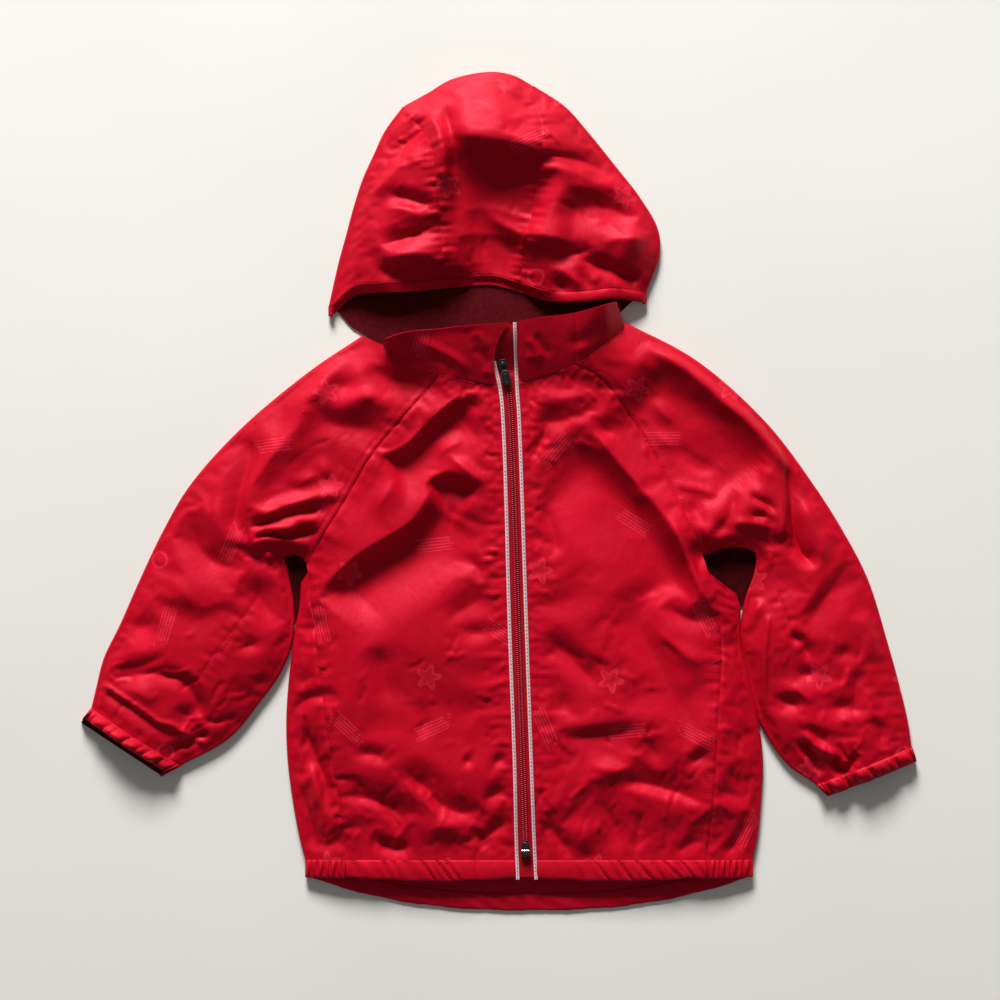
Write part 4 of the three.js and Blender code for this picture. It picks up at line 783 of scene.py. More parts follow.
def hoodCentreAt(inset):
    # u runs across, v from the brim over the crown and back beneath to the neck
    def at(u, v):
        u, v = np.broadcast_arrays(u, v)
        ridge = along(crown, u)

        def layer(name, t):
            right, left = hoodEdge["right", name], hoodEdge["left", name]
            line = lambda t: lerp(along(right, t), along(left, t), u[..., None])
            offset = ridge - line(0 * t) - (0, roll)
            return line(t) + offset * ((1 - t) ** 1.5)[..., None]

        shrink = np.where(v > 2, -5 * np.clip(v - 2, 0, 1), seamHalf) * (1 - 2 * u)
        onTop, below, over = np.clip(v, 0, 1), np.clip(v - 2, 0, 1), np.clip(v - 1, 0, 1) * math.pi
        a = layer("top", 1 - onTop)
        fade = smoothStep((0.45 - onTop) / 0.45)
        chord = lerp(hoodEdge["right", "top"][-1], hoodEdge["left", "top"][-1], u[..., None])
        a[..., 1] += (brimY(chord[..., 0]) - chord[..., 1]) * fade + inset * smoothStep((0.5 - onTop) / 0.5)
        b = layer("under", below)
        rim = layer("top", 0 * u)
        x = np.where(v <= 1, a[..., 0], np.where(v >= 2, b[..., 0], rim[..., 0])) + shrink
        y = np.where(v <= 1, a[..., 1], np.where(v >= 2, b[..., 1], rim[..., 1] + roll * np.sin(over)))
        lift = hoodTop(rim[..., 0], rim[..., 1]) - ground
        z = np.where(v >= 2, ground, ground + lift * (1 + np.cos(over)) / 2)
        return np.where((v <= 1)[..., None], hoodSurface(x, y), stack(x, y, z))
    return at


# Materials, with colours in linear RGB.

def addNode(tree, kind, inputs, **settings):
    # a node with its settings made, and each input given a value or linked to an output
    node = tree.nodes.new(kind)
    for name, value in settings.items():
        setattr(node, name, value)
    for key, value in inputs.items():
        if isinstance(value, bpy.types.NodeSocket):
            tree.links.new(value, node.inputs[key])
        else:
            node.inputs[key].default_value = value
    return node


def calc(tree, kind, *values):
    return addNode(tree, "ShaderNodeMath", dict(enumerate(values)), operation=kind).outputs[0]


def noise(tree, place, scale, detail=2.0, stretch=None, rough=0.5):
    if stretch:
        *scales, turn = stretch
        given = {"Vector": place, "Rotation": (0, 0, turn), "Scale": scales}
        place = addNode(tree, "ShaderNodeMapping", given).outputs[0]
    given = {"Vector": place, "Scale": scale, "Detail": detail, "Roughness": rough}
    return addNode(tree, "ShaderNodeTexNoise", given).outputs["Fac"]


def remap(tree, value, *span):
    # from the first two numbers of the span to the last two
    names = ("From Min", "From Max", "To Min", "To Max")
    return addNode(tree, "ShaderNodeMapRange", {"Value": value, **dict(zip(names, span))}).outputs[0]


def mixed(tree, factor, a, b):
    full = lambda colour: (*colour, 1) if isinstance(colour, tuple) else colour
    given = {"Factor": factor, 6: full(a), 7: full(b)}
    return addNode(tree, "ShaderNodeMix", given, data_type="RGBA").outputs[2]


def wave(tree, place, scale, direction):
    given = {"Vector": place, "Scale": scale, "Distortion": 0.0}
    return addNode(tree, "ShaderNodeTexWave", given, bands_direction=direction).outputs["Fac"]


def bumped(tree, shader, *layers):
    # layers of (height, strength, distance), each laid over the one before
    before = {}
    for height, strength, distance in layers:
        given = {"Height": height, "Strength": strength, "Distance": distance, **before}
        before = {"Normal": addNode(tree, "ShaderNodeBump", given).outputs[0]}
    tree.links.new(before["Normal"], shader.inputs["Normal"])


def nodesOf(name):
    material = bpy.data.materials.new(name)
    material.use_nodes = True
    tree = material.node_tree
    place = tree.nodes.new("ShaderNodeTexCoord").outputs["Object"]
    return material, tree, tree.nodes["Principled BSDF"], place


# The print's cells and strokes are counted to a metre, and its lengths are in metres.
nylon = {"red": (0.46, 0.0004, 0.0130), "deep": (0.38, 0.0002, 0.009), "print": (0.62, 0.022, 0.050),
         "fleck": (0.34, 0.0003, 0.005), "tint": (1, 0.16, 0.27, 1), "roughness": 0.53,
         "weave": 900, "crinkle": 150}
motifs = {"cells": 13.0, "scatter": 0.7, "star": 0.0082, "starPoint": 0.0026, "starPoints": 5.0,
          "hollow": 1.45, "hollowFade": 0.55, "ring": 0.006, "ringHalf": 0.0011,
          "strokes": 2600.0, "strokeLeast": 0.004, "strokeMore": 0.02, "bundleHalf": 0.0058,
          "starShare": 0.28, "ringShare": (0.36, 0.07), "strokesFrom": 0.58}


def printMotifs(tree, place):
    # scattered tonal stars, rings, and short bundles of strokes, one to a cell
    make = lambda kind, *values: calc(tree, kind, *values)
    given = {"Vector": place, "Scale": motifs["cells"], "Randomness": motifs["scatter"]}
    cell = addNode(tree, "ShaderNodeTexVoronoi", given, voronoi_dimensions="2D")
    away = addNode(tree, "ShaderNodeVectorMath", {0: place, 1: cell.outputs["Position"]},
                   operation="SUBTRACT")
    draw = addNode(tree, "ShaderNodeSeparateColor", {0: cell.outputs["Color"]})
    angle = make("MULTIPLY", draw.outputs[0], 6.28)
    turned = addNode(tree, "ShaderNodeVectorRotate", {"Vector": away.outputs[0], "Angle": angle},
                     rotation_type="Z_AXIS").outputs[0]
    part = addNode(tree, "ShaderNodeSeparateXYZ", {0: turned})
    x, y = part.outputs[0], part.outputs[1]
    radius = make("SQRT", make("ADD", make("MULTIPLY", x, x), make("MULTIPLY", y, y)))
    points = make("COSINE", make("MULTIPLY", make("ARCTAN2", y, x), motifs["starPoints"]))
    reach = make("MULTIPLY_ADD", points, motifs["starPoint"], motifs["star"])
    inner = make("LESS_THAN", make("MULTIPLY", radius, motifs["hollow"]), reach)
    star = make("SUBTRACT", make("LESS_THAN", radius, reach), make("MULTIPLY", inner, motifs["hollowFade"]))
    ragged = noise(tree, turned, 260.0, 1.0)
    length = make("MULTIPLY_ADD", ragged, motifs["strokeMore"], motifs["strokeLeast"])
    inLength = make("LESS_THAN", make("ABSOLUTE", x), length)
    inWidth = make("LESS_THAN", make("ABSOLUTE", y), motifs["bundleHalf"])
    rows = make("GREATER_THAN", make("SINE", make("MULTIPLY", y, motifs["strokes"])), -0.2)
    strokes = make("MULTIPLY", make("MULTIPLY", inLength, inWidth), rows)
    ring = make("LESS_THAN", make("ABSOLUTE", make("SUBTRACT", radius, motifs["ring"])), motifs["ringHalf"])
    pick = draw.outputs[1]
    total = make("MULTIPLY", star, make("LESS_THAN", pick, motifs["starShare"]))
    total = make("MULTIPLY_ADD", strokes, make("GREATER_THAN", pick, motifs["strokesFrom"]), total)
    return make("MULTIPLY_ADD", ring, make("COMPARE", pick, *motifs["ringShare"]), total)


def nylonMaterial(name, printed=True, rough=0.0):
    material, tree, shader, place = nodesOf(name)
    cloud = remap(tree, noise(tree, place, 22.0, 3.0), 0.35, 0.7, 0.0, 1.0)
    fine = remap(tree, noise(tree, place, 1400.0, 2.0), 0.3, 0.8, 0.0, 0.18)
    colour = mixed(tree, fine, mixed(tree, cloud, nylon["deep"], nylon["red"]), nylon["fleck"])
    smooth, dull = nylon["roughness"] - .05 + rough, nylon["roughness"] + .08 + rough
    roughness = remap(tree, noise(tree, place, 60.0, 3.0), 0.3, 0.7, smooth, dull)
    if printed:
        worn = remap(tree, noise(tree, place, 400.0, 3.0), 0.35, 0.55, 0.35, 0.8)
        motif = calc(tree, "MULTIPLY", printMotifs(tree, place), worn)
        colour = mixed(tree, calc(tree, "MULTIPLY", motif, 0.85), colour, nylon["print"])
        roughness = calc(tree, "MULTIPLY_ADD", motif, -0.2, roughness)
    tree.links.new(colour, shader.inputs["Base Color"])
    tree.links.new(roughness, shader.inputs["Roughness"])
    shader.inputs["Specular IOR Level"].default_value = 0.5
    shader.inputs["Specular Tint"].default_value = nylon["tint"]
    weave = calc(tree, "MULTIPLY", *(wave(tree, place, nylon["weave"], way) for way in "XY"))
    crinkle = noise(tree, place, nylon["crinkle"], 3.0, (1.0, 0.55, 1.0, 0.6), 0.55)
    ripple = noise(tree, place, 45.0, 2.0)
    bumped(tree, shader, (crinkle, 0.45, 0.0009), (ripple, 0.2, 0.003), (weave, 0.25, 0.00008))
    return material


def plainMaterial(name, light, dark, roughness, metallic=0.0, scale=300.0, bump=0.0002, spread=0.1,
                  shine=0.5):
    material, tree, shader, place = nodesOf(name)
    cloud = remap(tree, noise(tree, place, scale, 3.0), 0.3, 0.7, 0.0, 1.0)
    tree.links.new(mixed(tree, cloud, dark, light), shader.inputs["Base Color"])
    varied = remap(tree, cloud, 0.0, 1.0, roughness + spread, roughness - spread)
    tree.links.new(varied, shader.inputs["Roughness"])
    shader.inputs["Metallic"].default_value = metallic
    shader.inputs["Specular IOR Level"].default_value = shine
    bumped(tree, shader, (noise(tree, place, scale * 3, 2.0), 0.4, bump))
    return material


clothRed = nylonMaterial("red_nylon")
# painted shade: a near-black red sheet coloured for the shadow deep in the gaps under the arms
paintedShadeCloth = plainMaterial("red_painted_shade", (0.05, 0.002, 0.004), (0.03, 0.001, 0.002), 0.9, shine=.04)
# the nylon's matte reverse side, coloured far darker than its face with painted shade for the shadow inside
# the hood and the cuff mouths
paintedInsideShade = plainMaterial("red_nylon_inside_painted_shade", (0.085, 0.0003, 0.003), (0.06, 0.0002, 0.002), 0.8, shine=.1)
casingRed = nylonMaterial("red_casing", False, 0.05)
# partly the tape's own darker tone and partly painted shade, for the shadow on the tape under the chin and
# slider
tapeRedAndPaintedShade = plainMaterial("zip_tape", (0.36, 0.003, 0.012), (0.26, 0.0015, 0.008), 0.8, 0, 900, 0.0003,
                        shine=.08)
coilRed = plainMaterial("zip_coil", (0.56, 0.022, 0.05), (0.42, 0.008, 0.025), 0.45, 0, 700, 0.0001, shine=.3)
coilBed = plainMaterial("zip_coil_core", (0.16, 0.0006, 0.006), (0.10, 0.0004, 0.004), 0.8, 0, 700, 0.0001,
                        shine=.08)
threadRed = plainMaterial("red_thread", (0.50, 0.006, 0.025), (0.36, 0.002, 0.014), 0.7, 0, 1500, shine=.12)
piping = plainMaterial("reflective_piping", (0.82, 0.64, 0.66), (0.66, 0.46, 0.49), 0.42, 0.2, 800)
pipingThread = plainMaterial("piping_thread", (0.45, 0.09, 0.12), (0.32, 0.04, 0.07), 0.6, 0, 900, shine=.2)
pewter = plainMaterial("zip_metal", (0.05, 0.044, 0.045), (0.018, 0.016, 0.017), 0.34, 0.75, 420, spread=.07)
brightMetal = plainMaterial("bright_metal", (0.75, 0.74, 0.73), (0.5, 0.49, 0.48), 0.28, 0.9, 420, 0.0001,
                            .07)
print("materials")

# Meshes made from grids of points.

def meshObject(name, points, faces, material, smooth=True):
    mesh = bpy.data.meshes.new(name)
    mesh.from_pydata((np.asarray(points) * mm).tolist(), [], faces)
    mesh.materials.append(material)
    if smooth:
        mesh.shade_smooth()
    mesh.update()
    item = bpy.data.objects.new(name, mesh)
    bpy.context.scene.collection.objects.link(item)
    return item


def gridFaces(rows, columns, closed=False, offset=0):
    j, i = np.meshgrid(np.arange(rows - 1), np.arange(columns if closed else columns - 1), indexing="ij")
    a, b = j * columns + i, j * columns + (i + 1) % columns
    return (np.stack([a, b, b + columns, a + columns], axis=-1).reshape(-1, 4) + offset).tolist()


def gridPoints(at, us, vs):
    u, v = np.meshgrid(us, vs)
    return at(u, v)


def normalsOf(grid, closed):
    wrap = np.concatenate([grid[:, -1:], grid, grid[:, :1]], axis=1) if closed else grid
    acrossGrid, downGrid = np.gradient(wrap, axis=1), np.gradient(wrap, axis=0)
    normal = np.cross(acrossGrid, downGrid)
    normal /= np.maximum(np.linalg.norm(normal, axis=-1, keepdims=True), 1e-9)
    return normal[:, 1:-1] if closed else normal


def walled(grid, closed, thickness):
    # points of both faces of a wall about a grid
    offset = normalsOf(grid, closed) * thickness / 2
    return np.concatenate([(grid + offset).reshape(-1, 3), (grid - offset).reshape(-1, 3)])


def rimEdges(rows, columns, closed):
    index = np.arange(rows * columns).reshape(rows, columns)
    first, last = index[0], index[-1][::-1]
    if closed:
        return [*zip(first, np.roll(first, -1)), *zip(last, np.roll(last, -1))]
    loop = np.concatenate([first, index[1:, -1], last[1:], index[-2:0:-1, 0]])
    return list(zip(loop, np.roll(loop, -1)))


def shell(name, grids, material, wall=None, shaded=None, inside=None):
    # one thin closed wall from each grid, (points, closed round); shaded, a dark material of painted shade,
    # covers the grids after the second, inside, a darker material with painted shade, the faces that look
    # into the garment
    points, faces, sharp, inner, plain, start = [], [], [], [], 0, 0
    for k, (grid, closed) in enumerate(grids):
        rows, columns = grid.shape[:2]
        count = rows * columns
        upper = gridFaces(rows, columns, closed, start)
        faces += upper + [[i + count for i in face[::-1]] for face in upper]
        facing = np.sum(normalsOf(grid, closed)[..., 2] * (grid[..., 2] - grid[..., 2].mean())) > 0
        inner += [not facing] * len(upper) + [facing] * len(upper)
        rim = [(int(a) + start, int(b) + start) for a, b in rimEdges(rows, columns, closed)]
        faces += [(b, a, a + count, b + count) for a, b in rim]
        inner += [False] * len(rim)
        sharp += rim + [(a + count, b + count) for a, b in rim]
        points.append(walled(grid, closed, wall or cloth["wall"]))
        start += 2 * count
        plain = len(faces) if k < 2 else plain
    item = meshObject(name, np.concatenate(points), faces, material)
    wanted = {tuple(sorted(edge)) for edge in sharp}
    ends = np.empty(len(item.data.edges) * 2, int)
    item.data.edges.foreach_get("vertices", ends)
    flags = [tuple(sorted(pair)) in wanted for pair in ends.reshape(-1, 2).tolist()]
    item.data.attributes.new("sharp_edge", "BOOLEAN", "EDGE").data.foreach_set("value", flags)
    if shaded or inside:
        item.data.materials.append(shaded or inside)
        second = np.array(inner) if inside else np.arange(len(faces)) >= plain
        item.data.polygons.foreach_set("material_index", second.astype(int))
    return item


def evenly(a, b, length, step=None):
    # numbers from a to b, enough that a cloth of this length is stepped finely
    return np.linspace(a, b, max(2, int(math.ceil(length / (step or cloth["step"]))) + 1))


def spans(*parts):
    # joins runs of numbers that share their ends
    return np.concatenate([parts[0]] + [part[1:] for part in parts[1:]])


def dress(item, nodes, body="jacket"):
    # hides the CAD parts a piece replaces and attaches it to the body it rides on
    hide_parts(*nodes)
    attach(item, body)


# The upper layers settle before any panel reads them, held along the zip, the hem, the neck and the brim.
held = {"zip": 13, "zipFade": 5, "zipTop": 95, "hem": 9, "hemFade": 5, "hemX": 20, "hemHalf": 200,
        "neckX": 12, "neckY": 118, "neckSlope": .42, "neckFade": 6, "neckHalf": 70, "brim": 11, "brimFade": 4}


def bodyHeld(x, y):
    fromZip, fromNeck = np.abs(x - zipCentre(np.clip(y, -309, 134))), np.abs(x - held["neckX"])
    nearZip = smoothStep((held["zip"] - fromZip) / held["zipFade"]) * (y < held["zipTop"])
    nearHem = smoothStep((hemY + held["hem"] - y) / held["hemFade"])
    nearHem = nearHem * (np.abs(x - held["hemX"]) < held["hemHalf"])
    overNeck = y + held["neckSlope"] * fromNeck - held["neckY"]
    nearNeck = smoothStep(overNeck / held["neckFade"]) * (fromNeck < held["neckHalf"])
    return np.maximum(np.maximum(nearZip, nearHem), nearNeck)


def hoodHeld(x, y):
    return smoothStep((brimY(np.clip(x, -136, 117)) + held["brim"] - y) / held["brimFade"])


torso = np.concatenate([sideLine["foldRight"], raglanLine["right"][::40], raglanLine["left"][::-40],
                        sideLine["foldLeft"][::-1]])
bodyOutlines = [torso]
for hand in signs:
    bodyOutlines.append(np.concatenate([sleeveEdge[hand, "outer"][::20], sleeveEdge[hand, "inner"][::-20]]))
for hand in signs:
    bodyOutlines.append(np.concatenate([raglanLine[hand][::40], sleeveEdge[hand, "outer"][:1],
                                        sleeveEdge[hand, "inner"][:1]]))
hoodOutline = np.concatenate([hoodEdge["right", "fold"][::-20], crown[::20], hoodEdge["left", "fold"][::20],
                              np.stack([brimRows["x"], brimRows["y"]], 1)[::-1]])
bodyMoved = settled(body, bodyOutlines, bodyHeld, 3)
hoodMoved = settled(hood, [hoodOutline], hoodHeld, 4)

# The body. Spans are given the length of cloth they cover, which sets their number of steps.
backSteps = spans(evenly(0, 1, 44), evenly(1, 2, 12, 1.3), evenly(2, 3, 180, cloth["underStep"]))
backSteps = np.concatenate([backSteps, (6 - backSteps[::-1])[1:]])
backGrids = [gridPoints(backAt, backSteps, evenly(0, 1, 230, 2.2)),
             gridPoints(yokeAt, evenly(0, 1, 310, 8), evenly(0, 1, 155, 8)),
             *(gridPoints(gussetAt(hand), evenly(0, 1, 50, 5), evenly(0, 1, 50, 5)) for hand in signs)]
# the gussets, the grids after the second, take the material of painted shade
back = shell("back_cloth", [(grid, False) for grid in backGrids], clothRed, shaded=paintedShadeCloth)
frontSteps = spans(evenly(0, 1, 238), evenly(1, 2, 150))
fronts = {hand: shell("front_" + hand + "_cloth", [
    (gridPoints(frontAt(hand), evenly(0, 1, 155), frontSteps), False)], clothRed) for hand in signs}
print("body panels")

# The sleeves, each one tube from the raglan seam to the cuff seam.
sleeveSteps = spans(evenly(-1, 1, 14, 1.6), evenly(1, 2, 120, 1.6), evenly(2, 4, 14, 1.6),
                    evenly(4, 5, 120, 6))[:-1]
sleeves = {hand: shell("sleeve_" + hand + "_cloth", [
    (gridPoints(sleeveAt(hand), sleeveSteps, evenly(0.0008, 1, 300)), True)], clothRed) for hand in signs}
print("sleeves")

# Cuffs: gathered casings with an open mouth.
cuffs = {
    "right": {"outer": (-333, -184), "inner": (-271, -227), "pleats": 46, "rise": 1.35, "wall": 1.0,
              "mouth": 1.3, "open": 5.6, "swell": 2.3, "seed": 90},
    "left": {"outer": (333, -216), "inner": (264, -243), "pleats": 38, "rise": 1.15, "wall": 1.0,
             "mouth": 0.8, "open": 0.5, "swell": 2.3, "seed": 91}}


def cuffAt(hand):
    size = cuffs[hand]
    onSleeve = sleeveAt(hand)
    seam = lambda u: onSleeve(u, 0.9992 + 0 * u)
    ends = [seam(np.array([t]))[0, :2] for t in (0.0, 3.0)]
    across = np.array(size["inner"], float) - size["outer"]
    beyond = np.array([across[1], -across[0]]) / np.hypot(*across) * np.sign(across[0])
    own = np.random.default_rng(size["seed"])
    phases, amounts = own.uniform(0, 6.28, 3), own.uniform(.5, 1, 3)

    def at(u, v):
        turn = np.mod(u, 6)
        share = (np.where(turn <= 3, turn, 6 - turn) / 3)[..., None]
        p = seam(u)
        move = lerp(np.array(size["outer"]) - ends[0], np.array(size["inner"]) - ends[1], share)
        p[..., :2] += move * lerp(0.01, 1, v)[..., None]
        under = np.where(turn > 3, .15, -1) * v * np.sin(math.pi * share[..., 0]) ** .8
        p[..., :2] += size["open"] * under[..., None] * beyond
        over = smoothStep((p[..., 2] - ground) / 4)
        angle = turn * size["pleats"] / 6 * 2 * math.pi
        ripple = sum(amount * np.sin(angle * pace + phase + 1.2 * v)
                     for amount, pace, phase in zip(amounts, (1, 0.62, 1.7), phases))
        swell = size["swell"] * np.sin(math.pi * np.clip(v, 0, 1)) ** 0.7
        mouth = lerp(1, size["mouth"], smoothStep(v))
        gathered = 0.25 + 0.75 * np.sin(math.pi * np.clip(v * .9, 0, 1))
        p[..., 2] = ground + .4 + (p[..., 2] - ground) * mouth
        p[..., 2] += over * (swell + size["rise"] * ripple * gathered)
        p[..., 2] -= over * .45 * np.exp(-((v - .04) / .06) ** 2)
        p[..., 2] = np.maximum(p[..., 2], size["wall"] / 2 + .05)
        return p
    return at


cuffPieces = {}
for hand in signs:
    ring = gridPoints(cuffAt(hand), np.linspace(0, 6, 241)[:-1], np.linspace(0, 1, 15))
    # the cuff's inner faces take the darker material of painted shade
    cuffPieces[hand] = shell("cuff_" + hand + "_cloth", [(ring, True)], casingRed, cuffs[hand]["wall"],
                             inside=paintedInsideShade)

# Hems: casings pulled in by elastic at the back and sides, flat with slanting pleats in front.
hem = {"puff": 1.5, "backPuff": 1.15, "depth": 14.4, "backDepth": 13.4, "frontSag": 2.6, "gather": 1.05,
       "gatherPitch": 4.6, "ripple": .3, "longRipple": .22, "around": 20}


def tubeFaces(rows, around):
    # the faces of a tube with both ends closed
    faces = gridFaces(rows, around, True)
    for row, turned in ((0, True), (rows - 1, False)):
        loop = [row * around + i for i in range(around)]
        faces.append(loop[::-1] if turned else loop)
    return faces


def casing(name, line, depth, thick, ripple):
    # a folded strip sewn along a line and hanging towards -Y: a closed tube with a puffed section
    around = hem["around"]
    rows = []
    for a in np.linspace(0, 2 * math.pi, around, endpoint=False):
        down = (1 - math.cos(a)) / 2
        p = line.copy()
        p[:, 1] -= down * depth
        bulge = math.copysign(abs(math.sin(a)) ** 0.62, math.sin(a))
        p[:, 2] += thick * bulge * (0.55 + 0.45 * min(1, down * 3))
        if math.sin(a) > 0:
            p[:, 2] += ripple(down) * math.sin(a)
        rows.append(p)
    points = np.stack(rows, axis=1).reshape(-1, 3)
    return meshObject(name, points, tubeFaces(len(line), around), casingRed)


# Slanting pleats in the front casings: x at the seam, x at the lower edge, depth, half-width.
hemPleats = {
    "right": tableOf("top bottom deep half", [
        (-92, -86, .7, 2.2), (-62, -51, 2.1, 1.5), (-55, -45, 1.6, 1.3), (-50, -37, 2.4, 1.5),
        (-42, -30, 1.7, 1.3), (-24, -17, .5, 2.0), (-115, -112, .5, 2.4)]),
    "left": tableOf("top bottom deep half", [
        (44, 50, .5, 2.0), (60, 67, .6, 2.0), (76, 88, 2.2, 1.4), (88, 97, .8, 1.5), (95, 107, 2.3, 1.5),
        (103, 114, .8, 1.5), (109, 123, 2.5, 1.6), (121, 132, .9, 1.6), (131, 146, 2.5, 1.6),
        (145, 156, 2.2, 1.5), (156, 165, .9, 1.6)])}


def hemFront(hand):
    sign = signs[hand]
    s, phase = np.linspace(0, 1, 150), np.random.default_rng(100 + sign).uniform(0, 6.28, 6)
    x = lerp(zipX(hand, hemY) + sign * 1.3, columnAt(sideRows, "y", seamOf[hand], hemY) - sign * .3, s)
    line = stack(x, hemY, bodyTop(x, hemY + 1 + 0 * x))
    sag = hem["frontSag"] * np.sin(math.pi * np.clip(s * 1.1, 0, 1))
    depth = hem["depth"] + sag + .35 * np.sin(x / 5 + phase[0])

    def ripple(down):
        waves = hem["ripple"] * np.sin(x / 1.7 - 4 * down + 1.5 * np.sin(x / 7) + phase[1])
        waves = (waves + hem["longRipple"] * np.sin(x / 3.9 + phase[2])) * smoothStep((s - .05) / .5)
        for top, bottom, deep, half in np.stack(list(hemPleats[hand].values()), axis=1):
            away = (x - lerp(top, bottom, down)) / half
            waves += deep * (.55 * np.exp(-(away - 1.5) ** 2) - np.exp(-away ** 2)) * (.3 + .7 * down)
        return waves
    return casing("hem_front_" + hand + "_cloth", line, depth, hem["puff"], ripple)


def hemBack():
    phase = rng.uniform(0, 6.28, 6)
    s = spans(evenly(0, 1, 44, .9), evenly(1, 2, 14, 1), evenly(2, 3, 180, 1.6))
    s = np.concatenate([s, (6 - s[::-1])[1:]])
    local = np.where(s <= 3, s, 6 - s)
    line = backRow(s, hemY, 1) - (0, .2, 0)
    line[:, 2] += np.clip(local - 1, 0, 1)
    x = line[:, 0]
    depth = np.where(local < 1.5, hem["depth"], hem["backDepth"])
    depth = depth + .12 * np.sin(x / 1.9 + phase[0]) + .3 * np.sin(x / 6.7)
    thick = np.where(local < 1.2, hem["puff"], hem["backPuff"])

    def ripple(down):
        waves = np.sin(x * 2 * math.pi / hem["gatherPitch"] + 1.5 * np.sin(x / 9) + phase[1])
        waves = waves + .5 * np.sin(x / 1.5 + phase[2] + 3 * down)
        near = smoothStep((1.9 - local) / .6)
        slanted = .5 * np.sin(x / 4.1 - 5 * down + 2 * np.sin(x / 23)) * np.sin(x / 19 + phase[3])
        waves = lerp(.16, 1, near) * waves + (1 - near) * slanted
        return hem["gather"] * waves * (.4 + .6 * math.sin(math.pi * down))
    return casing("hem_back_cloth", line, depth, thick, ripple)


hems = {hand: hemFront(hand) for hand in signs}
hems["back"] = hemBack()
print("cuffs and hems")

# The hood: two side panels, a centre panel and the casing along its brim.
band = cloth["brimBand"]
hoodPieces = {}
for hand in signs:
    us = spans(evenly(0, 1, 85), evenly(1, 2, 12, 1.3), evenly(2, 3, 85, cloth["underStep"]))
    side = gridPoints(hoodSideAt(hand, band + .3), us, evenly(0, 1, 190))
    # the hood's inner faces take the darker material of painted shade
    hoodPieces[hand] = shell("hood_side_" + hand + "_cloth", [(side, False)], clothRed, inside=paintedInsideShade)
vs = spans(evenly(0, 1, 170), evenly(1, 2, 16, 1.3), evenly(2, 3, 220, cloth["underStep"]))
centre = gridPoints(hoodCentreAt(band + .3), evenly(0, 1, 75), vs)
hoodPieces["centre"] = shell("hood_centre_cloth", [(centre, False)], clothRed, inside=paintedInsideShade)


def bandAt(s, v):
    # puffed on the wearer's left, sunk at its free edge on the right
    turn = np.where(s < 1, 2 * (1 - s), 2 * np.maximum(s - 2, 0))
    p = np.where((s < 1)[..., None], hoodSideAt("right", 0)(turn, 1 + 0 * s),
                 np.where((s > 2)[..., None], hoodSideAt("left", 0)(turn, 1 + 0 * s),
                          hoodCentreAt(0)(np.clip(s - 1, 0, 1), 0 * s)))
    p[..., 1] += band * v
    onTop = turn < 1
    swell = .9 * np.sin(math.pi * np.clip(v, 0, 1)) ** .6
    raised = hoodSurface(p[..., 0], p[..., 1])
    raised[..., 2] += swell * smoothStep((p[..., 0] - 30) / 30)
    raised[..., 2] -= 5 * (1 - v) * smoothStep((60 - p[..., 0]) / 30)
    raised[..., 2] = np.maximum(raised[..., 2], ground + 1)
    return np.where(onTop[..., None], raised, p)


s = spans(evenly(0, .5, 14, 1.3), evenly(.5, 1, 85, 1.4), evenly(1, 2, 55, 1.4), evenly(2, 2.5, 90, 1.4),
          evenly(2.5, 3, 14, 1.3))
bandGrid = gridPoints(bandAt, s, np.linspace(0, 1, 10))
hoodPieces["band"] = shell("hood_band_cloth", [(bandGrid, False)], casingRed, 1.3)
print("hood")

# The chin: front ends of the hood, standing behind the zip's top.
chinRows = {
    "right": tableOf("lowX lowY highX highY bend", [
        (-92, 118, -90, 121.5, 0), (-70, 108, -70, 127, 0), (-46.5, 98, -48, 129, 0),
        (-26, 92.8, -26, 131.5, -2), (-1.8, 87.4, 8.0, 134, -6.6)]),
    "left": tableOf("lowX lowY highX highY bend", [
        (15.7, 90, 13.9, 134.5, 0), (33, 95.8, 33, 138, 0), (57.5, 104, 57, 141, 0),
        (80, 118.5, 78, 146, 0), (100, 133, 93, 151, 0)])}
chinRises = {"right": 12, "left": 14}
# Creases of the chin: height, width, sharpness, then the line's points.
chinCreases = {
    "right": [(2.4, 5, .5, -66, 121, -48, 112, -30, 102, -22, 92), (-2.2, 5, .5, -58, 108, -44, 104, -34, 94),
              (1.8, 4, .4, -24, 126, -14, 122, -8, 112), (-1.6, 4, .4, -22, 114, -12, 108, -6, 100),
              (2.0, 4, .6, -70, 128, -50, 130, -30, 131, -8, 132), (1.6, 3, .5, -14, 96, -4, 94)],
    "left": [(2.0, 4, .5, 22, 124, 30, 112, 36, 104), (-2.2, 4, .5, 28, 126, 34, 116, 42, 108),
             (1.8, 4, .5, 20, 108, 34, 106), (-2.2, 6, .4, 52, 118, 70, 122, 84, 134),
             (1.6, 5, .4, 60, 112, 72, 116)]}


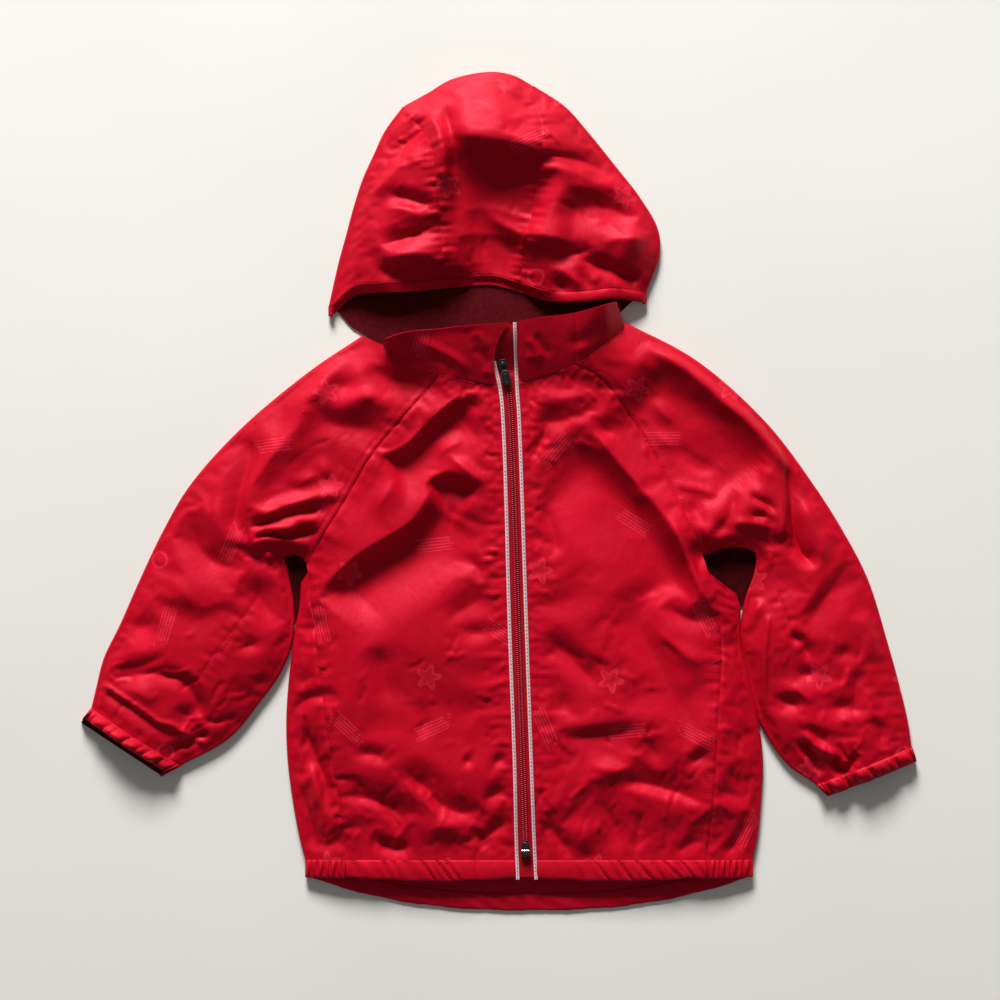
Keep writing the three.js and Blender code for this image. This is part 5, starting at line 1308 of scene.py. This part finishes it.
def chinAt(hand):
    rows = chinRows[hand]
    low, high = lineOf(rows, "low"), lineOf(rows, "high")
    bends = smoothLine(np.stack([rows["bend"], rows["bend"]], 1))

    def at(u, v):
        a = along(low, u)
        a[..., 1] -= 3.2 * np.sin(math.pi * np.clip(u, 0, 1)) ** .2
        p = lerp(a, along(high, u), v[..., None])
        p[..., 0] += along(bends, u)[..., 0] * 4 * v * (1 - v)
        z = .35 + bodyTop(a[..., 0], a[..., 1] - 1)
        z = z + chinRises[hand] * v * (1.3 - .3 * v) + 1.2 * np.sin(9 * u) * v
        for height, width, sharp, *points in chinCreases[hand]:
            line = smoothLine(np.reshape(points, (-1, 2)), 15)
            d, share = acrossLine(line, p[..., 0], p[..., 1])[:2]
            t = np.clip(1 - d / (1.5 * width), 0, 1)
            taper = smoothStep(share * 4) * smoothStep((1 - share) * 4)
            z = z + .62 * height * lerp(t * t * (3 - 2 * t), t ** 1.8, sharp) * taper
        return stack(p[..., 0], p[..., 1], z)
    return at


chins = {hand: shell("chin_" + hand + "_cloth", [
    (gridPoints(chinAt(hand), evenly(0, 1, 100, 1.5), evenly(0, 1, 42, 1.5)), False)], clothRed)
    for hand in signs}
print("chin")

# The zip, its strips first.
zipSizes = {"tape": 0.9, "coilHalf": 2.1, "bedHalf": 2.3, "bedLow": -278.6, "bedHigh": 92, "piping": 2.2,
            "rise": 0.7, "top": {"right": 104, "left": 134}, "tapeTop": {"right": 102, "left": 133},
            "tapeInset": 0.4, "tapeLow": 13.5, "pipingLow": 15.5, "partsAt": 94, "collarRise": 13}


def zipFloor(y):
    # the cloth's height under the zip, level above the neck seam
    return bodyTop(zipCentre(y), np.minimum(y, 88))


def chinRise(y):
    # how far the zip's top lifts with the collar
    return np.where(y > 90, zipSizes["collarRise"] * smoothStep((y - 90) / 44), 0)


def zipStrip(name, left, right, yLow, yHigh, lift, material, wall, columns=3, crown=0.0):
    def at(u, v):
        y = lerp(yLow, yHigh, v)
        return stack(lerp(left(y), right(y), u), y, zipFloor(y) + lift(y) + crown * np.sin(math.pi * u))
    us = np.linspace(0, 1, columns)
    return shell(name, [(gridPoints(at, us, evenly(0, 1, yHigh - yLow, 2.2)), False)], material, wall)


tapes, pipes = {}, {}
for hand, sign in signs.items():
    # past the slider each tape leaves the middle and follows its front
    parting = 9.5 if sign > 0 else 1
    inner = lambda y: (zipCentre(y) + sign * zipSizes["coilHalf"] * smoothStep((y + 292) / 5)
                       - parting * smoothStep((y - zipSizes["partsAt"]) / 12))
    outer = lambda y: zipX(hand, y) - sign * zipSizes["tapeInset"]
    under = lambda y: -.3 + chinRise(y) - 2.5 * (y > zipSizes["partsAt"])
    low, high = (inner, outer) if sign > 0 else (outer, inner)
    tapes[hand] = zipStrip("zip_tape_" + hand + "_cloth", low, high, hemY - zipSizes["tapeLow"],
                           zipSizes["tapeTop"][hand], under, tapeRedAndPaintedShade, zipSizes["tape"], 5)
    half = zipSizes["piping"] / 2
    over = lambda y: zipSizes["rise"] + chinRise(y)
    pipes[hand] = zipStrip("zip_piping_" + hand + "_trim", lambda y: zipX(hand, y) - half,
                           lambda y: zipX(hand, y) + half, hemY - zipSizes["pipingLow"],
                           zipSizes["top"][hand], over, piping, .8, 7, .55)
coil = zipStrip("zip_coil_bed", lambda y: zipCentre(y) - zipSizes["bedHalf"],
                lambda y: zipCentre(y) + zipSizes["bedHalf"], zipSizes["bedLow"], zipSizes["bedHigh"],
                lambda y: .15 + 0 * y, coilBed, .7, 7, .2)
print("zip strips")


# Rows of small repeated parts, stitches and zip teeth, set along lines.
def rowTree():
    tree = bpy.data.node_groups.new("rows of small parts", "GeometryNodeTree")
    for name, kind in (("Lines", "Geometry"), ("Pitch", "Float"), ("Size", "Vector"), ("Wander", "Float"),
                       ("Seed", "Int"), ("Material", "Material")):
        tree.interface.new_socket(name, in_out="INPUT", socket_type="NodeSocket" + kind)
    tree.interface.new_socket("Parts", in_out="OUTPUT", socket_type="NodeSocketGeometry")
    add = lambda kind, inputs, **settings: addNode(tree, kind, inputs, **settings)
    numbers = lambda sockets: [socket for socket in sockets if socket.type == "VALUE" and socket.enabled]
    given = add("NodeGroupInput", {}).outputs
    curve = add("GeometryNodeMeshToCurve", {"Mesh": given["Lines"]}).outputs["Curve"]
    spaced = add("GeometryNodeResampleCurve", {"Curve": curve, "Length": given["Pitch"]}, mode="LENGTH")
    part = add("GeometryNodeMeshUVSphere", {"Segments": 6, "Rings": 4, "Radius": 0.5})
    tangent = add("GeometryNodeInputTangent", {}).outputs[0]
    turned = add("FunctionNodeAlignRotationToVector", {"Vector": tangent}, axis="X")
    chance = add("FunctionNodeRandomValue", {"Seed": given["Seed"]}, data_type="FLOAT")
    for socket, kind in zip(numbers(chance.inputs), ("SUBTRACT", "ADD")):
        tree.links.new(calc(tree, kind, 1.0, given["Wander"]), socket)
    sized = add("ShaderNodeVectorMath", {0: given["Size"], "Scale": numbers(chance.outputs)[0]},
                operation="SCALE")
    placed = add("GeometryNodeInstanceOnPoints", {
        "Points": spaced.outputs["Curve"], "Instance": part.outputs["Mesh"],
        "Rotation": turned.outputs["Rotation"], "Scale": sized.outputs[0]})
    real = add("GeometryNodeRealizeInstances", {"Geometry": placed.outputs["Instances"]})
    smooth = add("GeometryNodeSetShadeSmooth", {"Geometry": real.outputs["Geometry"]})
    painted = add("GeometryNodeSetMaterial", {
        "Geometry": smooth.outputs["Geometry"], "Material": given["Material"]})
    add("NodeGroupOutput", {"Parts": painted.outputs["Geometry"]})
    return tree


rowsOfParts = rowTree()


def partsAlong(name, lines, pitch, size, material, wander=0.1, seed=5):
    # one mesh of small parts spaced along every line; pitch and size in millimetres
    edges, start = [], 0
    for line in lines:
        edges += [(start + i, start + i + 1) for i in range(len(line) - 1)]
        start += len(line)
    helperMesh = bpy.data.meshes.new(name + "_lines")
    helperMesh.from_pydata((np.concatenate(lines) * mm).tolist(), edges, [])
    helper = bpy.data.objects.new(name + "_lines", helperMesh)
    bpy.context.scene.collection.objects.link(helper)
    rows = helper.modifiers.new("rows", "NODES")
    rows.node_group = rowsOfParts
    values = {"Pitch": pitch * mm, "Size": tuple(k * mm for k in size), "Wander": wander, "Seed": seed,
              "Material": material}
    for socket in rowsOfParts.interface.items_tree:
        if socket.item_type == "SOCKET" and socket.in_out == "INPUT" and socket.name in values:
            rows[socket.identifier] = values[socket.name]
    seen = helper.evaluated_get(bpy.context.evaluated_depsgraph_get())
    mesh = bpy.data.meshes.new_from_object(seen)
    mesh.name = name
    item = bpy.data.objects.new(name, mesh)
    bpy.context.scene.collection.objects.link(item)
    bpy.data.objects.remove(helper)
    print(name, len(mesh.polygons), "faces")
    return item


thread = {"pitch": 3.1, "size": (2.3, 0.42, 0.40), "lift": 0.42, "zipLift": 0.36, "onCasing": 0.75,
          "tackPitch": 0.75, "tackSize": (1.5, .5, .45), "pipingPitch": 2.9, "pipingSize": (1.9, 0.85, 0.45)}
gaps = {"raglan": 2.2, "side": (1.9, 7.0), "sleeve": 1.7, "zip": 2.5, "hood": (-1.9, 1.9), "neck": 5.0,
        "hem": 2.0, "brim": 1.6}
neckStitched = {"right": (.30, .94), "left": (.06, .66)}
pocketEnds = [(-140.5, -139, 3.4, -1.2), (-127, -257, 3.4, -1.2), (174, -135, 3.4, 1.2),
              (168, -257.5, 3.4, 1.2)]
teethSizes = {"pitch": 1.6, "size": (.98, 2.35, 1.0), "fromMiddle": 1.2, "low": -278, "high": 97,
              "stagger": .4, "lift": .95}


def onBody(line, lift=thread["lift"]):
    return bodySurface(line[:, 0], line[:, 1]) + (0, 0, lift)


def onHood(line, lift=thread["lift"]):
    return hoodSurface(line[:, 0], line[:, 1]) + (0, 0, lift)


def between(line, a, b, count=160):
    return along(line, np.linspace(a, b, count))


def tack(x, y, dx, dy):
    # a bar tack: a short dense zigzag across the end of a pocket opening
    t = np.linspace(-1, 1, 13)
    flip = np.where(np.arange(13) % 2, .8, -.8)
    length = math.hypot(dx, dy)
    return stack(x + t * dx - flip * dy / length, y + t * dy + flip * dx / length, 0 * t)[:, :2]


def stitchesOf(hand, sign):
    # along the raglan, side, sleeve, zip, hood, neck, hem and cuff seams of one side, in this order
    lines = [onBody(between(offsetLine(raglanLine[hand], -sign * gaps["raglan"]), .02, .97))]
    lines += [onBody(between(sideLine[seamOf[hand]] - (sign * gap, 0), .03, .97)) for gap in gaps["side"]]
    lines.append(onBody(between(offsetLine(sleeveSeam[hand], gaps["sleeve"]), .03, .97, 60)))
    zipSide = np.linspace(hemY + 1, 86, 260)
    lines.append(onBody(np.stack([zipX(hand, zipSide) + sign * gaps["zip"], zipSide], 1), thread["zipLift"]))
    lines += [onHood(between(offsetLine(hoodEdge[hand, "top"], gap), .04, .86)) for gap in gaps["hood"]]
    neckLine = lineOf(chinRows[hand], "low") - (0, gaps["neck"])
    lines.append(onBody(between(neckLine, *neckStitched[hand], 60)))
    x = np.linspace(zipX(hand, hemY) + sign * 3, columnAt(sideRows, "y", seamOf[hand], hemY), 90)
    lines.append(stack(x, hemY - gaps["hem"] + 0 * x, bodyTop(x, hemY + 1 + 0 * x) + thread["onCasing"]))
    turn = np.linspace(.12, 2.88, 60)
    lines.append(cuffAt(hand)(turn, .13 + 0 * turn) + (0, 0, thread["onCasing"]))
    return lines


stitchLines = stitchesOf("right", -1) + stitchesOf("left", 1)
brimX = np.linspace(-122, 112, 150)
stitchLines.append(onHood(np.stack([brimX, brimY(brimX) + cloth["brimBand"] + gaps["brim"]], 1)))
stitches = partsAlong("topstitching", stitchLines, thread["pitch"], thread["size"], threadRed)
tacks = partsAlong("pocket_tacks", [onBody(tack(*row)) for row in pocketEnds], thread["tackPitch"],
                   thread["tackSize"], threadRed)
pipeRows, teethRows = [], []
for hand, sign in signs.items():
    y = np.linspace(hemY - zipSizes["pipingLow"] + 1, zipSizes["top"][hand] - 1.5, 260)
    pipeRows.append(stack(zipX(hand, y), y, zipFloor(y) + zipSizes["rise"] + chinRise(y) + 1.0))
    y = np.linspace(teethSizes["low"], teethSizes["high"] + .6 * sign, 300) + sign * teethSizes["stagger"]
    teethX = zipCentre(y) + sign * teethSizes["fromMiddle"]
    teethRows.append(stack(teethX, y, zipFloor(y) + teethSizes["lift"]))
pipeStitches = partsAlong("piping_stitches", pipeRows, thread["pipingPitch"], thread["pipingSize"],
                          pipingThread, .08, 6)
teeth = partsAlong("zip_teeth", teethRows, teethSizes["pitch"], teethSizes["size"], coilRed, .04, 7)
print("rows")

# Hard parts of the zip: slider with its arch, pull tab, bottom box.
slider = {"x": 3.4, "y": 100, "z": 14.8, "turn": 0.21, "width": 8, "length": 11.5, "plate": 1.1, "gap": 2.5,
          "archY": 1.5, "archInside": 2.0, "archBar": 1.1, "archEye": 1.7, "postHalf": 1.2, "postLength": 3.2}
pullTab = {"length": 17, "foot": 7.4, "shoulder": 8.6, "top": 4.9, "thick": 1.3, "frame": 0.62,
           "window": 2.55, "frameLow": 5.4, "rimY": -11.4, "rimX": 1.75, "rimLong": 3.1, "rimBar": .34}
boxSizes = {"y": -285, "top": -279, "bar": -285.6, "low": -291, "narrow": 3.1, "wide": 4.5, "footHalf": 3.2,
            "upper": 2.4, "lower": 3.0, "barHalf": 3.5, "barRadius": .72, "barZ": 2.7, "lift": 1.1}


def rounded(corners, rounds=3):
    # cuts the corners of an outline again and again
    line = np.array(corners, float)
    for _ in range(rounds):
        following = np.roll(line, -1, axis=0)
        line = np.stack([.75 * line + .25 * following, .25 * line + .75 * following], axis=1).reshape(-1, 2)
    return line


def taperedBox(lowHalf, low, highHalf, high, rounds=2):
    # a rounded outline from its lower edge to its upper one, even about the middle
    return rounded([(-lowHalf, low), (lowHalf, low), (highHalf, high), (-highHalf, high)], rounds)


def domed(outline, low, high, edge):
    # a plate with rounded upper and lower edges, as rings of the same outline
    middle = outline.mean(axis=0)
    reach = np.abs(outline - middle).max()
    rings = [(2.2 * edge, low), (.6 * edge, low), (0, low + .6 * edge), (0, high - edge),
             (.3 * edge, high - .3 * edge), (edge, high), (2.4 * edge, high + .12 * edge)]
    rows = [stack(*(middle + (outline - middle) * (1 - inset / reach)).T, z) for inset, z in rings]
    return np.stack(rows), False


def swept(path, radius, flat=1.0, closed=False):
    # a round bar along a path, closed on itself if asked
    path = np.asarray(path, float)
    forward = np.roll(path, -1, axis=0) - np.roll(path, 1, axis=0) if closed else np.gradient(path, axis=0)
    forward /= np.linalg.norm(forward, axis=1, keepdims=True)
    guide = np.array([1.0, 0, 0]) if np.ptp(path[:, 0]) < 1e-6 else np.array([0, 0, 1.0])
    across = np.cross(forward, guide)
    across /= np.linalg.norm(across, axis=1, keepdims=True)
    up = np.cross(across, forward)
    turns = np.linspace(0, 2 * math.pi, 10, endpoint=False)
    rows = path[:, None] + radius * (np.cos(turns)[None, :, None] * across[:, None]
                                     + flat * np.sin(turns)[None, :, None] * up[:, None])
    return rows, closed


def hardPart(name, parts, material, place):
    # one mesh of domed plates and swept bars
    points, faces, start = [], [], 0
    for rows, closed in parts:
        count, around = rows.shape[:2]
        made = gridFaces(count + 1, around, True) if closed else tubeFaces(count, around)
        faces += [tuple(start + (i % (count * around)) for i in face) for face in made]
        points.append(rows.reshape(-1, 3))
        start += count * around
    return meshObject(name, place(np.concatenate(points)), faces, material)


def onSlider(points):
    # from the slider's own axes to the frame's
    c, s = math.cos(slider["turn"]), math.sin(slider["turn"])
    x, y, z = points.T
    return stack(slider["x"] + c * x - s * y, slider["y"] + s * x + c * y, slider["z"] + z)


def sliderParts():
    # two plates joined by a post, and the arch that carries the pull
    half, long, gap = slider["width"] / 2, slider["length"] / 2, slider["gap"] / 2
    nose, waist, back = half * .62, half * 1.06, half * .74
    outline = rounded([(-nose, -long), (nose, -long), (waist, long * .3), (back, long), (-back, long),
                       (-waist, long * .3)])
    post = taperedBox(slider["postHalf"], long - .2 - slider["postLength"], slider["postHalf"], long - .2)
    angles = np.linspace(-.12, math.pi + .12, 13)
    reach = slider["archEye"] + slider["archBar"] / 2
    rise = slider["archInside"] + slider["archBar"] / 2
    arch = stack(0, slider["archY"] + reach * np.cos(angles), plateTop + rise * np.abs(np.sin(angles)) ** .7)
    return [domed(outline, -plateTop, -gap, .35), domed(outline, gap, plateTop, .4),
            domed(post, -gap - .2, gap + .2, .2), swept(arch, slider["archBar"] / 2, 2.1)]


def pullParts():
    # an open frame that hooks through the arch, a plate below it, and a raised rim on the plate
    wide, foot, half = pullTab["window"], pullTab["foot"] / 2, pullTab["thick"] / 2
    frameLine = taperedBox(wide, .5, wide * .96, -pullTab["frameLow"], 3)
    shoulder, end = -pullTab["shoulder"], -pullTab["length"]
    outline = rounded([(-wide, -pullTab["top"]), (wide, -pullTab["top"]), (foot, shoulder), (foot, end),
                       (-foot, end), (-foot, shoulder)])
    angles = np.linspace(0, 2 * math.pi, 28, endpoint=False)
    rim = stack(pullTab["rimX"] * np.cos(angles), pullTab["rimY"] + pullTab["rimLong"] * np.sin(angles),
                half + .05)
    return [swept(stack(*frameLine.T, 0), pullTab["frame"], 1.0, True), domed(outline, -half, half, .4),
            swept(rim, pullTab["rimBar"], 1.0, True)]


plateTop = slider["gap"] / 2 + slider["plate"]
pivot = np.array([0, slider["archY"], plateTop + slider["archInside"] / 2])
sliderPiece = hardPart("zip_slider_body", sliderParts(), pewter, onSlider)
pullPiece = hardPart("zip_pull_tab", pullParts(), pewter, lambda points: onSlider(points + pivot))

boxX = float(zipCentre(boxSizes["y"]))
boxZ = float(bodyTop(boxX, boxSizes["y"])) + boxSizes["lift"]
atBox = lambda points: points + (boxX, 0, boxZ)
upperBox = taperedBox(boxSizes["narrow"], boxSizes["bar"] + .4, boxSizes["narrow"], boxSizes["top"])
lowerBox = taperedBox(boxSizes["footHalf"], boxSizes["low"], boxSizes["wide"], boxSizes["bar"] - .5)
boxPiece = hardPart("zip_bottom_box", [domed(upperBox, 0, boxSizes["upper"], .45),
                                       domed(lowerBox, 0, boxSizes["lower"], .5)], pewter, atBox)
barLine = stack(np.linspace(-boxSizes["barHalf"], boxSizes["barHalf"], 9), boxSizes["bar"], boxSizes["barZ"])
barPiece = hardPart("zip_box_bar", [swept(barLine, boxSizes["barRadius"], .8)], brightMetal, atBox)
print("zip hardware")

# What each piece stands for, and the body it rides on.
dress(back, ["back"])
for hand in signs:
    dress(fronts[hand], ["front_" + hand])
    dress(sleeves[hand], ["sleeve_" + hand, "sleeve_under_" + hand])
    dress(cuffPieces[hand], ["cuff_" + hand])
    dress(hems[hand], ["hem_front_" + hand])
    dress(hoodPieces[hand], ["hood_side_" + hand])
    dress(chins[hand], ["chin_" + hand])
    dress(tapes[hand], ["zip_tape_" + hand])
    dress(pipes[hand], ["zip_piping_" + hand])
dress(hems["back"], ["hem_back"])
dress(hoodPieces["centre"], ["hood_centre"])
dress(hoodPieces["band"], ["hood_band"])
dress(coil, ["zip_coil"])
dress(sliderPiece, ["zip_slider"])
dress(pullPiece, ["zip_pull"], body="pull")
dress(boxPiece, ["zip_box"])
for item, slotName in ((stitches, "red_nylon"), (tacks, "red_nylon"), (pipeStitches, "reflective_piping"),
                       (teeth, "zip_coil"), (barPiece, "zip_metal")):
    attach(item, "jacket")

# Stage: floor, light and camera, in metres.
stage = {"floorHalf": 3.0, "lens": 92.0, "sensor": 36.0, "centre": (0.0008, -0.0064), "view": 0.8,
         "lift": 0.004, "roomColour": (1, 0.99, 0.96, 1), "roomLight": 0.16}


def placed(name, data, position=(0, 0, 0)):
    item = bpy.data.objects.new(name, data)
    item.location = position
    bpy.context.scene.collection.objects.link(item)
    return item


def areaLight(name, position, size, watts, colour):
    # a window-like rectangle turned towards the jacket
    data = bpy.data.lights.new(name, "AREA")
    data.shape = "RECTANGLE"
    data.size, data.size_y = size
    data.energy = watts
    data.color = colour
    placed(name, data, position).rotation_euler = (-Vector(position)).to_track_quat("-Z", "Y").to_euler()


reach = stage["floorHalf"]
floorMesh = bpy.data.meshes.new("floor")
floorMesh.from_pydata([(-reach, -reach, 0), (reach, -reach, 0), (reach, reach, 0), (-reach, reach, 0)], [],
                      [(0, 1, 2, 3)])
floorWhite = plainMaterial("floor_white", (0.725, 0.725, 0.70), (0.69, 0.69, 0.665), 0.75, 0, 3.0, 0.0001)
floorMesh.materials.append(floorWhite)
placed("floor", floorMesh)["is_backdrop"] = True
areaLight("window", (-0.75, 4.9, 2.25), (2.0, 1.4), 690, (1, 0.985, 0.955))
areaLight("sky_fill", (0.3, -0.6, 2.6), (2.6, 2.6), 2, (0.97, 0.985, 1))
world = bpy.data.worlds.new("soft room")
bpy.context.scene.world = world
world.use_nodes = True
room = world.node_tree.nodes["Background"].inputs
room["Color"].default_value = stage["roomColour"]
room["Strength"].default_value = stage["roomLight"]
camera = bpy.data.cameras.new("camera")
camera.lens, camera.sensor_width = stage["lens"], stage["sensor"]
height = stage["view"] * stage["lens"] / stage["sensor"] + stage["lift"]
bpy.context.scene.camera = placed("camera", camera, (*stage["centre"], height))
bpy.context.scene.view_settings.view_transform = "Standard"
print("stage")

box = lambda b: [list(map(float, corner)) for corner in b]
{"cad": box(cadBounds), "visual": box(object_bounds())}
